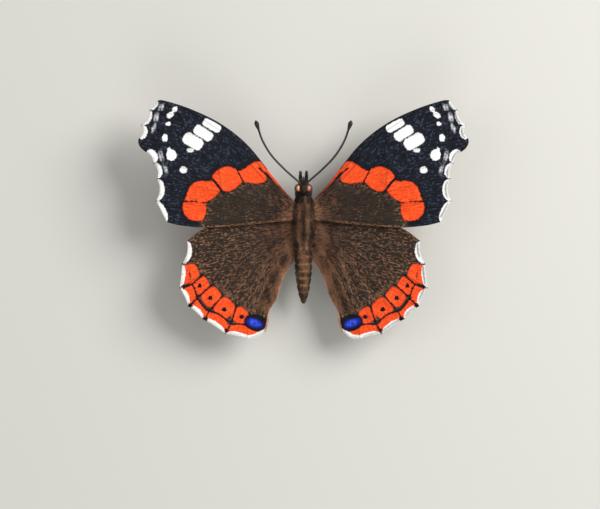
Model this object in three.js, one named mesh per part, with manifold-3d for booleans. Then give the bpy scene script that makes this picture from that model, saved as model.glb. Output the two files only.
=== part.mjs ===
// A life-size red admiral butterfly at rest on the floor, wings spread flat, as a still model.
//
// Millimetres, +Z up. +X is the animal's right, +Y is forwards to the head, and the floor is z = 0.
// Everything is drawn for the right side and mirrored for the left. The wings are thin curved plates
// with their main veins raised on both faces, the body is revolved pieces, and the legs, feelers,
// palps and coiled tongue are tapered tubes. Neighbouring pieces keep a small gap.

import * as THREE from "three";
import { mergeVertices } from "three/addons/utils/BufferGeometryUtils.js";
import Module from "manifold-3d";

const wasm = await Module();
wasm.setup();

// Driving dimensions
const gap = 0.3; // between neighbouring pieces
const wingThickness = 0.5;
const wingRootHeight = 7.4;
const wingStack = 1.15; // the forewing's mid surface lies this far over the hindwing's
const bodyHeight = 6.2; // of the thorax axis over the floor
const thoraxHalfWidth = 2.08;
const thoraxHalfHeight = 2.35;
const thoraxHalfLength = 5.3;
const abdomenTip = -15.4;
const mirrorLeft = new THREE.Vector3(-1, 1, 1);

// Wing outlines in plan, for the right side, as [x, y]. The outer margin is a row of teeth at the vein
// ends, as [x, y, depth of the scallop that follows].
const foreCosta = [
  [0.6, 2.3],
  [4.6, 6.8],
  [10.1, 13.7],
  [15.2, 17.8],
  [20.7, 20.5],
  [25.5, 22.05],
  [26.9, 22.1],
];
const foreTeeth = [
  [26.9, 22.1, 0.1],
  [28.4, 20.4, 0.5],
  [30.0, 17.6, 0.6],
  [30.4, 15.1, -0.2],
  [30.2, 13.6, -0.1],
  [29.1, 12.6, 0.35],
  [27.7, 10.5, 0.45],
  [27.1, 7.7, 0.6],
  [27.3, 3.6, 0.0],
  [25.3, -0.3],
];
const foreInner = [[25.3, -0.3], [22.2, -1.0], [16.6, -1.3], [7.4, -0.5], [0.6, 0.4]];
const hindCosta = [[0.6, 0.0], [4.6, 0.4], [9.2, 0.5], [13.9, 0.1], [18.7, -1.7], [21.6, -3.8]];
const hindTeeth = [
  [21.6, -3.8, 0.45],
  [22.5, -8.0, 0.05],
  [23.0, -12.5, 0.15],
  [21.4, -15.9, 0.15],
  [18.7, -18.3, 0.15],
  [14.5, -21.1, 0.15],
  [10.5, -22.1],
];
const hindInner = [
  [10.5, -22.1],
  [8.7, -21.8],
  [7.1, -20.4],
  [6.6, -18.7],
  [6.4, -16.7],
  [4.9, -14.0],
  [3.6, -10.1],
  [0.6, -5.5],
];

// Main veins in plan, each from its root or its fork to the margin
const foreVeins = {
  subcosta: [[2.8, 3.3], [5.2, 6.35], [8.4, 10.55], [12.2, 14.95], [16.1, 18.1]],
  radius1: [[9.4, 10.7], [12.3, 14.0], [15.2, 16.45], [21.1, 20.3]],
  radius5: [[0.9, 1.7], [6.9, 7.35], [13.7, 14.2], [21.8, 18.8], [28.4, 20.4]],
  radius4: [[21.8, 18.8], [24.1, 20.5], [26.9, 22.1]],
  media1: [[13.7, 14.2], [15.2, 13.3], [20.8, 15.9], [30.0, 17.6]],
  media2: [[15.2, 13.3], [15.7, 11.2], [22.9, 13.6], [30.3, 14.4]],
  crossvein: [[15.7, 11.2], [15.2, 5.6]],
  media3: [[15.3, 6.2], [17.4, 7.6], [21.5, 9.5], [27.7, 10.5]],
  cubitus: [[0.9, 1.4], [4.6, 2.1], [9.2, 3.3], [15.2, 5.6]],
  cubitus1: [[12.6, 4.5], [21.8, 6.8], [27.1, 7.7]],
  cubitus2: [[9.2, 3.3], [13.9, 2.9], [27.3, 3.6]],
  anal2: [[0.9, 0.95], [12.0, -0.1], [25.3, -0.3]],
};
const hindVeins = {
  subcosta: [[0.7, -1.8], [12.0, -1.1], [21.6, -3.8]],
  radius: [[0.7, -2.5], [9.6, -3.5], [22.5, -8.0]],
  media1: [[5.5, -2.7], [13.3, -6.9], [23.0, -12.5]],
  media2: [[8.5, -4.3], [10.4, -6.4], [21.4, -15.9]],
  media3: [[10.4, -6.4], [10.4, -7.9], [15.7, -14.9], [18.7, -18.3]],
  cubitus: [[0.7, -3.6], [6.3, -6.2], [8.5, -8.1], [10.4, -7.9]],
  cubitus1: [[8.5, -8.1], [12.5, -16.4], [14.5, -21.1]],
  cubitus2: [[6.3, -6.2], [9.8, -17.0], [10.5, -22.1]],
  anal2: [[0.9, -4.4], [5.0, -11.4], [8.0, -21.2]],
};
const veinFlank = 0.36; // from a vein's crest down to the membrane
const veinRootHeight = 0.3;
const veinEndHeight = 0.16;

// Solids: closed meshes joined and cut with manifold-3d
function toSolid(geometry) {
  const bare = geometry.index ? geometry.toNonIndexed() : geometry;
  const positions = new THREE.BufferGeometry().setAttribute("position", bare.getAttribute("position"));
  const merged = mergeVertices(positions, 1e-4);
  const index = merged.index.array;
  const kept = [];
  for (let i = 0; i < index.length; i += 3) {
    const [a, b, c] = [index[i], index[i + 1], index[i + 2]];
    if (a !== b && b !== c && c !== a) kept.push(a, b, c);
  }
  const solid = new wasm.Manifold(
    new wasm.Mesh({
      numProp: 3,
      vertProperties: merged.attributes.position.array,
      triVerts: new Uint32Array(kept),
    }),
  );
  return solid;
}

function toGeometry(solid) {
  const mesh = solid.getMesh();
  const geometry = new THREE.BufferGeometry();
  geometry.setAttribute("position", new THREE.BufferAttribute(mesh.vertProperties, 3));
  geometry.setIndex(new THREE.BufferAttribute(mesh.triVerts, 1));
  geometry.computeVertexNormals();
  return geometry;
}

function largest(solid) {
  const bodies = solid.decompose();
  return bodies.reduce((best, body) => (body.volume() > best.volume() ? body : best));
}

function joined(pieces) {
  return pieces.map(toSolid).reduce((all, piece) => all.add(piece));
}

// Shapes
function ellipsoid(centre, halfSizes, around, up) {
  return new THREE.SphereGeometry(1, around, up)
    .rotateX(Math.PI / 2)
    .scale(...halfSizes)
    .translate(...centre);
}

// A piece revolved about the body axis from [y, radius] pairs, then flattened or raised to its height.
function revolved(profile, sides, heightRatio, axisHeight) {
  const points = profile.map(([y, radius]) => new THREE.Vector2(radius, y));
  const geometry = new THREE.LatheGeometry(points, sides);
  const position = geometry.getAttribute("position");
  for (let i = 0; i < position.count; i++) {
    const y = position.getY(i);
    position.setZ(i, position.getZ(i) * heightRatio + axisHeight(y));
  }
  return geometry;
}

// A tube of changing radius along a smooth curve, with closed ends.
function tube(points, radiusAt, steps, sides) {
  const curve = new THREE.CatmullRomCurve3(points.map((p) => new THREE.Vector3(...p)));
  const frames = curve.computeFrenetFrames(steps, false);
  const positions = [];
  const index = [];
  for (let i = 0; i <= steps; i++) {
    const share = i / steps;
    const centre = curve.getPointAt(share);
    for (let j = 0; j < sides; j++) {
      const turn = (2 * Math.PI * j) / sides;
      const around = frames.normals[i]
        .clone()
        .multiplyScalar(Math.cos(turn))
        .addScaledVector(frames.binormals[i], Math.sin(turn));
      positions.push(...centre.clone().addScaledVector(around, radiusAt(share)));
    }
  }
  const firstCentre = positions.length / 3;
  positions.push(...curve.getPointAt(0), ...curve.getPointAt(1));
  for (let j = 0; j < sides; j++) {
    const next = (j + 1) % sides;
    for (let i = 0; i < steps; i++) {
      const [a, b, c, d] = [i * sides + j, i * sides + next, (i + 1) * sides + next, (i + 1) * sides + j];
      index.push(a, b, c, a, c, d);
    }
    index.push(firstCentre, next, j);
    index.push(firstCentre + 1, steps * sides + j, steps * sides + next);
  }
  const geometry = new THREE.BufferGeometry();
  geometry.setAttribute("position", new THREE.Float32BufferAttribute(positions, 3));
  geometry.setIndex(index);
  return geometry;
}

// Wing outlines
const plane = ([x, y]) => new THREE.Vector2(x, y);

function spacedSpline(points, spacing) {
  const curve = new THREE.SplineCurve(points.map(plane));
  return curve.getSpacedPoints(Math.max(2, Math.round(curve.getLength() / spacing)));
}

// Points along the shallow arc that runs from one tooth to the next, cut in by depth.
function scallop(from, to, depth, spacing) {
  const chord = to.clone().sub(from);
  const inward = new THREE.Vector2(chord.y, -chord.x).normalize();
  const count = Math.max(2, Math.round(chord.length() / spacing));
  return Array.from({ length: count }, (_, i) => {
    const share = i / count;
    const cut = depth * 4 * share * (1 - share);
    return from.clone().addScaledVector(chord, share).addScaledVector(inward, cut);
  });
}

// The whole outline, clockwise from above: leading edge, toothed outer margin, inner margin.
function wingOutline(costa, teeth, inner, spacing) {
  const margin = teeth
    .slice(0, -1)
    .flatMap(([x, y, depth], i) => scallop(new THREE.Vector2(x, y), plane(teeth[i + 1]), depth, spacing));
  return [...spacedSpline(costa, spacing).slice(0, -1), ...margin, ...spacedSpline(inner, spacing)];
}

function inside(point, outline) {
  let odd = false;
  for (let i = 0, j = outline.length - 1; i < outline.length; j = i++) {
    const [a, b] = [outline[i], outline[j]];
    if (a.y > point.y !== b.y > point.y && point.x < ((b.x - a.x) * (point.y - a.y)) / (b.y - a.y) + a.x)
      odd = !odd;
  }
  return odd;
}

function distanceToLine(point, line, closed) {
  let nearest = Infinity;
  const last = closed ? line.length : line.length - 1;
  for (let i = 0; i < last; i++) {
    const a = line[i];
    const step = line[(i + 1) % line.length].clone().sub(a);
    const along = THREE.MathUtils.clamp(point.clone().sub(a).dot(step) / step.lengthSq(), 0, 1);
    nearest = Math.min(nearest, a.clone().addScaledVector(step, along).distanceTo(point));
  }
  return nearest;
}

// Triangles that join scattered points of the plane so that no point lies in another triangle's circle
// (Bowyer and Watson's method).
function delaunay(points) {
  const far = 1e4;
  const all = [...points, ...[[-far, -far], [far, -far], [0, far]].map(plane)];
  const withCircle = (a, b, c) => {
    const [p, q, r] = [all[a], all[b], all[c]];
    const [qx, qy, rx, ry] = [q.x - p.x, q.y - p.y, r.x - p.x, r.y - p.y];
    const twiceArea = 2 * (qx * ry - qy * rx);
    const ux = (ry * (qx * qx + qy * qy) - qy * (rx * rx + ry * ry)) / twiceArea;
    const uy = (qx * (rx * rx + ry * ry) - rx * (qx * qx + qy * qy)) / twiceArea;
    const centre = new THREE.Vector2(p.x + ux, p.y + uy);
    return { corners: [a, b, c], centre, radiusSquared: ux * ux + uy * uy };
  };
  const count = points.length;
  let triangles = [withCircle(count, count + 1, count + 2)];
  points.forEach((point, added) => {
    const hit = triangles.filter((t) => t.centre.distanceToSquared(point) < t.radiusSquared);
    const edges = hit.flatMap(({ corners: [a, b, c] }) => [
      [a, b],
      [b, c],
      [c, a],
    ]);
    const keys = new Set(edges.map(([a, b]) => `${a} ${b}`));
    const rim = edges.filter(([a, b]) => !keys.has(`${b} ${a}`));
    triangles = triangles.filter((t) => !hit.includes(t));
    triangles.push(...rim.map(([a, b]) => withCircle(a, b, added)));
  });
  return triangles.map((t) => t.corners).filter((corners) => corners.every((corner) => corner < count));
}

// Height of a vein's crest over the membrane: highest at the root, fine at the margin.
function crestHeight(point) {
  const outward = THREE.MathUtils.clamp(point.length() / 28, 0, 1);
  return THREE.MathUtils.lerp(veinRootHeight, veinEndHeight, outward);
}

// Scattered points of a wing and their ridge heights: its outline, each vein's crest with a low point to
// either side, half way over where the next vein is close, and a loose fill. Crest points that follow one
// another are listed as pairs.
function wingPoints(outline, veinLines, spacing) {
  const points = [...outline];
  const ridges = outline.map(() => 0);
  const crests = [];
  const addClear = (point, clearance, margin, ridge) => {
    if (!inside(point, outline) || distanceToLine(point, outline, true) < margin) return;
    if (points.some((other) => other.distanceTo(point) < clearance)) return;
    points.push(point);
    ridges.push(ridge);
  };
  const crestIndex = (point) => {
    const near = points.findIndex((other) => other.distanceTo(point) < 0.5);
    if (near < 0) addClear(point, 0.5, 0.3, crestHeight(point));
    return near < 0 && points[points.length - 1] === point ? points.length - 1 : near;
  };
  for (const line of veinLines) {
    const onVein = line.map(crestIndex);
    onVein.slice(1).forEach((index, i) => {
      if (index >= 0 && onVein[i] >= 0 && index !== onVein[i]) crests.push([onVein[i], index]);
    });
  }
  for (const line of veinLines) {
    const others = veinLines.filter((other) => other !== line);
    line.slice(0, -1).forEach((point, i) => {
      const along = line[i + 1].clone().sub(point).normalize();
      for (const side of [1, -1]) {
        const across = new THREE.Vector2(-along.y, along.x).multiplyScalar(side);
        const beside = point.clone().addScaledVector(across, veinFlank);
        const clear = Math.min(...others.map((other) => distanceToLine(beside, other, false)));
        const reach = Math.min(veinFlank, (veinFlank + clear) / 2);
        addClear(point.clone().addScaledVector(across, reach), 0.27, 0.25, 0);
      }
    });
  }
  const rowStep = spacing * 0.87;
  for (let row = -30; row < 30; row++)
    for (let column = 0; column < 24; column++) {
      const shift = (row % 2 ? 0.5 : 0) * spacing + 0.05 * Math.sin(7 * row + 13 * column);
      addClear(new THREE.Vector2(column * spacing + shift, row * rowStep), spacing * 0.62, 0.6, 0);
    }
  return { points, ridges, crests };
}

// Makes each line from one crest point to the next an edge, by turning the shared edges that cross it.
function alongCrests(triangles, crests, points) {
  const side = (a, b, c) => points[b].clone().sub(points[a]).cross(points[c].clone().sub(points[a]));
  const apart = (a, b, c, d) => side(a, b, c) * side(a, b, d) < 0;
  const across = (a, b, c, d) => new Set([a, b, c, d]).size === 4 && apart(a, b, c, d) && apart(c, d, a, b);
  for (const [start, end] of crests)
    for (let attempt = 0; attempt < 12; attempt++) {
      const crossed = triangles.flatMap((corners, t) =>
        corners
          .map((from, k) => ({ t, from, to: corners[(k + 1) % 3], near: corners[(k + 2) % 3] }))
          .filter(({ from, to }) => across(start, end, from, to)),
      );
      const quads = crossed.flatMap((edge) => {
        const back = crossed.find(({ from, to }) => from === edge.to && to === edge.from);
        const { from, to, near } = edge;
        const convex = back && side(near, from, back.near) > 0 && side(back.near, to, near) > 0;
        return convex ? [{ ...edge, far: back.near, other: back.t }] : [];
      });
      if (!quads.length) break;
      const done = quads.find(({ near, far }) => !across(start, end, near, far));
      const { t, other, from, to, near, far } = done ?? quads[attempt % quads.length];
      triangles[t] = [near, from, far];
      triangles[other] = [far, to, near];
    }
  return triangles;
}

// A wing as a closed plate: the same triangles on both faces, and a wall round the outline.
function wingPlate(outline, veins, heightAt, fillSpacing) {
  const veinLines = Object.values(veins).map((points) => spacedSpline(points, 1.15));
  const { points, ridges, crests } = wingPoints(outline, veinLines, fillSpacing);
  const triangles = delaunay(points).filter(([a, b, c]) => {
    const middle = points[a].clone().add(points[b]).add(points[c]).divideScalar(3);
    return inside(middle, outline);
  });
  const positions = [];
  for (const face of [1, -1])
    points.forEach((point, i) => {
      const ridge = ridges[i] * (face > 0 ? 1 : 0.5);
      positions.push(point.x, point.y, heightAt(point.x, point.y) + face * (wingThickness / 2 + ridge));
    });
  const below = points.length;
  const index = [];
  const rim = new Map();
  for (const [a, b, c] of alongCrests(triangles, crests, points)) {
    index.push(a, b, c, below + a, below + c, below + b);
    for (const [from, to] of [[a, b], [b, c], [c, a]]) {
      if (!rim.delete(`${to} ${from}`)) rim.set(`${from} ${to}`, [from, to]);
    }
  }
  for (const [from, to] of rim.values()) index.push(from, below + from, to, to, below + from, below + to);
  const geometry = new THREE.BufferGeometry();
  geometry.setAttribute("position", new THREE.Float32BufferAttribute(positions, 3));
  geometry.setIndex(index);
  return geometry;
}

// The wings rise outwards in a shallow arch. The hindwing lies under the forewing's rear edge,
// sinks to its tail, and folds down beside the abdomen.
function foreHeight(x, y) {
  const out = x - 2;
  return wingRootHeight + 0.155 * out - 0.0022 * out * out + 0.012 * y;
}

function hindHeight(x, y) {
  const back = Math.max(0, -1.5 - y);
  const besideBody = THREE.MathUtils.clamp((5 - x) / 4, 0, 1) * THREE.MathUtils.clamp(back / 4, 0, 1);
  return foreHeight(x, y) - wingStack - 0.045 * back - 0.9 * besideBody;
}

// Body profiles as [y, radius]
const thoraxProfile = [
  [-5.3, 0],
  [-5.0, 0.95],
  [-4.2, 1.5],
  [-2.8, 1.86],
  [-1.0, 2.06],
  [1.0, 2.08],
  [2.7, 1.9],
  [3.7, 1.56],
  [4.2, 1.42],
  [4.75, 1.3],
  [5.1, 0.85],
  [5.2, 0],
];
const abdomenProfile = [
  [-4.3, 1.3],
  [-6.0, 1.66],
  [-8.0, 1.7],
  [-10.0, 1.56],
  [-12.0, 1.27],
  [-13.6, 0.93],
  [-14.7, 0.58],
  [abdomenTip, 0.12],
];
const abdomenRings = 8;
const sectionSides = 22;

function smoothProfile(profile, count) {
  const curve = new THREE.SplineCurve(profile.map(plane));
  return curve.getSpacedPoints(count).map((p) => [p.x, Math.max(0, p.y)]);
}

// The thorax, or its outer shape grown all round by a clearance.
function thoraxGeometry(grow) {
  const wider = 1 + grow / thoraxHalfWidth;
  const longer = 1 + grow / thoraxHalfLength;
  const profile = smoothProfile(thoraxProfile, 18).map(([y, r]) => [y * longer, r * wider]);
  profile[0][1] = 0;
  profile[profile.length - 1][1] = 0;
  return revolved(profile, sectionSides, thoraxHalfHeight / thoraxHalfWidth, () => bodyHeight);
}

// The abdomen's rings: each swells a little and meets the next in a groove.
function abdomenGeometry(grow) {
  const curve = new THREE.SplineCurve(abdomenProfile.map(plane));
  const profile = [[abdomenProfile[0][0] + grow, 0]];
  for (let ring = 0; ring < abdomenRings; ring++)
    for (const [share, swell] of [
      [0, 0.93],
      [0.25, 1.0],
      [0.75, 1.02],
    ]) {
      const point = curve.getPointAt((ring + share) / abdomenRings);
      profile.push([point.x, point.y * swell + grow]);
    }
  profile.push([abdomenTip - grow, 0]);
  return revolved(profile.reverse(), sectionSides, 1.02, (y) => bodyHeight - 0.25 - 0.085 * (-4.3 - y));
}

// Head, eyes, feelers, palps and coiled tongue
const headCentre = [0, 6.0, 6.55];
const headHalf = [1.45, 1.15, 1.3];
const eyeCentre = [1.13, 6.0, 6.68];
const eyeHalf = [0.6, 0.8, 0.9];
const grown = (sizes, by) => sizes.map((size) => size + by);

const feelerLine = [
  [0.45, 6.5, 7.1],
  [1.05, 7.3, 7.6],
  [3.33, 9.3, 8.35],
  [5.83, 11.9, 9.1],
  [7.5, 14.6, 9.8],
  [8.4, 17.1, 10.35],
  [8.85, 18.55, 10.65],
];
function feelerRadius(share) {
  const club = THREE.MathUtils.smoothstep(share, 0.86, 0.95);
  const tip = THREE.MathUtils.smoothstep(share, 0.95, 1.0);
  return 0.26 + 0.17 * club - 0.24 * tip;
}

const palpLine = [
  [0.42, 6.6, 6.05],
  [0.5, 7.3, 6.0],
  [0.56, 8.3, 6.2],
  [0.56, 9.1, 6.5],
];
const palpRadius = (share) => 0.34 - 0.14 * THREE.MathUtils.smoothstep(share, 0.5, 1);

const coilCentre = [0, 7.0, 4.05];
const coilOuter = 1.3;
const coilInner = 0.36;
const coilTurns = 1.45;
const coilTube = 0.25;
function tongueLine() {
  const start = -0.7; // radians from straight up, leaning back to the mouth
  const points = [[0, 5.95, 5.6]];
  const count = 16;
  for (let i = 0; i <= count; i++) {
    const share = i / count;
    const angle = start + 2 * Math.PI * coilTurns * share;
    const radius = coilOuter + (coilInner - coilOuter) * share;
    points.push([0, coilCentre[1] + radius * Math.sin(angle), coilCentre[2] + radius * Math.cos(angle)]);
  }
  return points;
}

// Legs, each from its hip to its foot. The first pair is small and folded under the front of the thorax,
// and the other two pairs stand on the floor.
const footHeight = 0.2;
const walkingLegs = {
  leg_mid: {
    hip: [0.75, 1.2, 5.0],
    bend: [1.35, 1.4, 3.45],
    knee: [5.2, 2.8, 5.2],
    ankle: [8.2, 3.6, 0.75],
    toe: [11.9, 4.9, footHeight],
  },
  leg_hind: {
    hip: [0.75, -1.6, 5.0],
    bend: [1.3, -1.9, 3.45],
    knee: [4.7, -3.7, 4.7],
    ankle: [7.4, -6.2, 0.75],
    toe: [10.4, -9.1, footHeight],
  },
};
const foldedLeg = { hip: [0.95, 3.7, 4.9], knee: [1.3, 5.5, 3.6], tip: [1.1, 3.2, 2.5] };
const between = (a, b, share) => a.map((value, i) => value + (b[i] - value) * share);

function walkingLeg({ hip, bend, knee, ankle, toe }) {
  const heel = between(ankle, toe, 0.16);
  heel[2] = footHeight + 0.12;
  const sole = between(heel, toe, 0.3);
  sole[2] = footHeight;
  const tarsusRadius = (share) => 0.26 + 0.05 * Math.abs(Math.sin(2.5 * Math.PI * share));
  return joined([
    tube([hip, bend], (share) => 0.55 - 0.1 * share, 2, 8),
    ellipsoid(bend, [0.46, 0.46, 0.46], 8, 4),
    tube([bend, between(bend, knee, 0.5), knee], (share) => 0.44 - 0.12 * share, 3, 8),
    ellipsoid(knee, [0.36, 0.36, 0.36], 8, 4),
    tube([knee, between(knee, ankle, 0.5), ankle], (share) => 0.3 - 0.03 * share, 2, 8),
    ellipsoid(ankle, [0.31, 0.31, 0.31], 8, 4),
    tube([ankle, heel, sole, toe], tarsusRadius, 10, 6),
  ]);
}

function folded({ hip, knee, tip }) {
  const shin = (share) => 0.27 + 0.1 * Math.sin(Math.PI * share) - 0.06 * share;
  return joined([
    tube([hip, between(hip, knee, 0.5), knee], (share) => 0.38 - 0.1 * share, 3, 6),
    ellipsoid(knee, [0.3, 0.3, 0.3], 6, 4),
    tube([knee, between(knee, tip, 0.5), tip], shin, 5, 6),
  ]);
}

// Colours
const material = (color, roughness) => new THREE.MeshStandardMaterial({ color, roughness, metalness: 0 });
const wingFinish = material(0x2e211c, 0.85);
const furFinish = material(0x4a382c, 0.95);
const horn = material(0x17130f, 0.55);
const eyeFinish = material(0x8a4a24, 0.25);

// The model
const butterfly = new THREE.Group();

function addNode(name, solid, finish, mirrored) {
  const mesh = new THREE.Mesh(toGeometry(largest(solid)), finish);
  mesh.name = name;
  if (mirrored) mesh.scale.copy(mirrorLeft);
  butterfly.add(mesh);
}

function addPair(name, solid, finish) {
  addNode(`${name}_right`, solid, finish, false);
  addNode(`${name}_left`, solid, finish, true);
}

const thorax = toSolid(thoraxGeometry(0));
const thoraxRoom = toSolid(thoraxGeometry(gap));
const abdomenRoom = toSolid(abdomenGeometry(gap));
const headRoom = toSolid(ellipsoid(headCentre, grown(headHalf, gap), 20, 12));
const eye = toSolid(ellipsoid(eyeCentre, eyeHalf, 16, 10));
const eyeRoom = toSolid(ellipsoid(eyeCentre, grown(eyeHalf, gap), 14, 8));
const otherEyeRoom = eyeRoom.mirror([1, 0, 0]);
const belowFloor = toSolid(new THREE.BoxGeometry(90, 90, 4).translate(0, 0, -2));

addNode("thorax", thorax, furFinish, false);
addNode("abdomen", toSolid(abdomenGeometry(0)).subtract(thoraxRoom), furFinish, false);
const headBare = toSolid(ellipsoid(headCentre, headHalf, 20, 14));
const head = headBare.subtract(thoraxRoom).subtract(eyeRoom).subtract(otherEyeRoom);
addNode("head", head, furFinish, false);
addPair("eye", eye.subtract(thoraxRoom), eyeFinish);
const feeler = toSolid(tube(feelerLine, feelerRadius, 26, 8));
addPair("antenna", feeler.subtract(headRoom).subtract(eyeRoom), horn);
addPair("palp", toSolid(tube(palpLine, palpRadius, 8, 8)).subtract(headRoom), furFinish);
addNode("proboscis", toSolid(tube(tongueLine(), () => coilTube, 32, 6)).subtract(headRoom), horn, false);

addPair("leg_fore", folded(foldedLeg).subtract(thoraxRoom), furFinish);
for (const [name, leg] of Object.entries(walkingLegs))
  addPair(name, walkingLeg(leg).subtract(thoraxRoom).subtract(belowFloor), horn);

const foreOutline = wingOutline(foreCosta, foreTeeth, foreInner, 0.85);
const hindOutline = wingOutline(hindCosta, hindTeeth, hindInner, 0.85);
const forewing = toSolid(wingPlate(foreOutline, foreVeins, foreHeight, 2.2));
const hindwing = toSolid(wingPlate(hindOutline, hindVeins, hindHeight, 2.2));
addPair("forewing", forewing.subtract(thoraxRoom), wingFinish);
addPair("hindwing", hindwing.subtract(thoraxRoom).subtract(abdomenRoom), wingFinish);

// The origin is on the floor under the middle of the whole.
const box = new THREE.Box3().setFromObject(butterfly);
const middle = box.getCenter(new THREE.Vector3());
butterfly.position.set(0, -middle.y, -box.min.z);

export default butterfly;
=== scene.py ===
"""A red admiral butterfly, life size, basking on a pale floor with its wings spread flat.

Shapes are given in millimetres in the animal's own plan: +X to its right, +Y to the head, z up from the
floor. The right half is drawn and mirrored. Each wing is a thin veined sheet whose pattern comes from
named marks: the distance to each mark is stored on the mesh, and the wing's paint turns it into rows of
coloured scales. The body is one skin under a coat of solid hairs.
"""

import math
import bpy
import numpy as np
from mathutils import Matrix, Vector
from mathutils.geometry import delaunay_2d_cdt


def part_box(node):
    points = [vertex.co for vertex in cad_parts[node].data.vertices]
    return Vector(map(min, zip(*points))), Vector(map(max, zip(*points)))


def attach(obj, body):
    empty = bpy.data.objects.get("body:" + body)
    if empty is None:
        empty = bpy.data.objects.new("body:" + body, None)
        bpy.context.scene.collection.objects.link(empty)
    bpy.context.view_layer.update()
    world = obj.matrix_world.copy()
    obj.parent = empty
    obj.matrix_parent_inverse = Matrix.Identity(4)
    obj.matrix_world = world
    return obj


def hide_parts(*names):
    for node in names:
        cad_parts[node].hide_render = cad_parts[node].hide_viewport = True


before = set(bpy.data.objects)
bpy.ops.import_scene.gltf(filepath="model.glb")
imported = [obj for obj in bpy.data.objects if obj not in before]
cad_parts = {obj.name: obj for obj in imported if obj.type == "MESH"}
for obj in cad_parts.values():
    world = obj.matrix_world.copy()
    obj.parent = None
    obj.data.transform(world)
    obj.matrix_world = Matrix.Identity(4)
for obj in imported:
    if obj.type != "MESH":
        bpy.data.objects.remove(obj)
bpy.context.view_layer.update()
thorax_low, thorax_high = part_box("thorax")
SHIFT_Y = (thorax_low.y + thorax_high.y) * 500 + 0.05  # from the animal's plan to the solids' frame, mm
HANDS = {"right": 1, "left": -1}
FAR = 9.0  # a distance that no mark reaches, mm
UP = np.array([0.0, 0.0, 1.0])
rng = np.random.default_rng(7)

# Wing outlines, as in the solids. A tooth is (x, y, depth of the scallop after it).
FORE_COSTA = [(0.6, 2.3), (4.6, 6.8), (10.1, 13.7), (15.2, 17.8), (20.7, 20.5), (25.5, 22.05), (26.9, 22.1)]
FORE_TEETH = [
    (26.9, 22.1, 0.1), (28.4, 20.4, 0.5), (30.0, 17.6, 0.6), (30.4, 15.1, -0.2), (30.2, 13.6, -0.1),
    (29.1, 12.6, 0.35), (27.7, 10.5, 0.45), (27.1, 7.7, 0.6), (27.3, 3.6, 0.0), (25.3, -0.3, 0),
]
FORE_INNER = [(25.3, -0.3), (22.2, -1.0), (16.6, -1.3), (7.4, -0.5), (0.6, 0.4)]
HIND_COSTA = [(0.6, 0.0), (4.6, 0.4), (9.2, 0.5), (13.9, 0.1), (18.7, -1.7), (21.6, -3.8)]
HIND_TEETH = [
    (21.6, -3.8, 0.45), (22.5, -8.0, 0.05), (23.0, -12.5, 0.15), (21.4, -15.9, 0.15),
    (18.7, -18.3, 0.15), (14.5, -21.1, 0.15), (10.5, -22.1, 0),
]
HIND_INNER = [
    (10.5, -22.1), (8.7, -21.8), (7.1, -20.4), (6.6, -18.7), (6.4, -16.7), (4.9, -14.0), (3.6, -10.1),
    (0.6, -5.5),
]

# Veins, from the wing's root outwards
FORE_VEINS = [
    [(2.8, 3.3), (5.2, 6.35), (8.4, 10.55), (12.2, 14.95), (16.1, 18.1)],
    [(9.4, 10.7), (12.3, 14.0), (15.2, 16.45), (21.1, 20.3)],
    [(0.9, 1.7), (6.9, 7.35), (13.7, 14.2), (21.8, 18.8), (28.4, 20.4)],
    [(21.8, 18.8), (24.1, 20.5), (26.9, 22.1)],
    [(13.7, 14.2), (15.2, 13.3), (20.8, 15.9), (30.0, 17.6)],
    [(15.2, 13.3), (15.7, 11.2), (22.9, 13.6), (30.3, 14.4)],
    [(15.7, 11.2), (15.2, 5.6)],
    [(15.3, 6.2), (17.4, 7.6), (21.5, 9.5), (27.7, 10.5)],
    [(0.9, 1.4), (4.6, 2.1), (9.2, 3.3), (15.2, 5.6)],
    [(12.6, 4.5), (21.8, 6.8), (27.1, 7.7)],
    [(9.2, 3.3), (13.9, 2.9), (27.3, 3.6)],
    [(0.9, 0.95), (12.0, -0.1), (25.3, -0.3)],
]
HIND_VEINS = [
    [(0.7, -1.8), (12.0, -1.1), (21.6, -3.8)],
    [(0.7, -2.5), (9.6, -3.5), (22.5, -8.0)],
    [(5.5, -2.7), (13.3, -6.9), (23.0, -12.5)],
    [(8.5, -4.3), (10.4, -6.4), (21.4, -15.9)],
    [(10.4, -6.4), (10.4, -7.9), (15.7, -14.9), (18.7, -18.3)],
    [(0.7, -3.6), (6.3, -6.2), (8.5, -8.1), (10.4, -7.9)],
    [(8.5, -8.1), (12.5, -16.4), (14.5, -21.1)],
    [(6.3, -6.2), (9.8, -17.0), (10.5, -22.1)],
    [(0.9, -4.4), (5.0, -11.4), (8.0, -21.2)],
]

# Forewing marks. A spot is (x, y, half length, half width, turn in degrees), a line (half width, points).
FORE_BLOCKS = [(16.9, 17.5, 1.75, 0.75, 28), (18.5, 16.1, 1.87, 0.92, 33), (20.4, 14.6, 1.9, 1.1, 31)]
FORE_SPOTS = [
    (20.9, 12.9, 0.65, 0.38, 5), (23.75, 20.45, 0.68, 0.42, -48), (24.55, 19.45, 0.75, 0.5, -40),
    (24.95, 17.8, 0.42, 0.38, 0), (25.55, 15.2, 0.52, 0.7, 0), (24.35, 12.05, 0.95, 1.05, 0),
    (24.75, 12.85, 0.42, 0.55, 0), (22.15, 9.3, 0.68, 0.62, 0),
]
FORE_SPECKS = [
    (26.0, 20.9, 0.2, 0.5, 14), (26.5, 20.8, 0.16, 0.42, 14), (26.95, 19.1, 0.24, 0.7, 8),
    (27.4, 18.9, 0.16, 0.6, 8), (27.4, 17.25, 0.2, 0.55, 8), (27.8, 16.8, 0.24, 0.55, 8),
    (26.05, 12.0, 0.14, 0.7, -14), (26.4, 11.7, 0.2, 0.7, -14), (25.25, 9.4, 0.2, 0.65, -12),
    (25.65, 9.5, 0.12, 0.6, -12),
]
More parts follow.
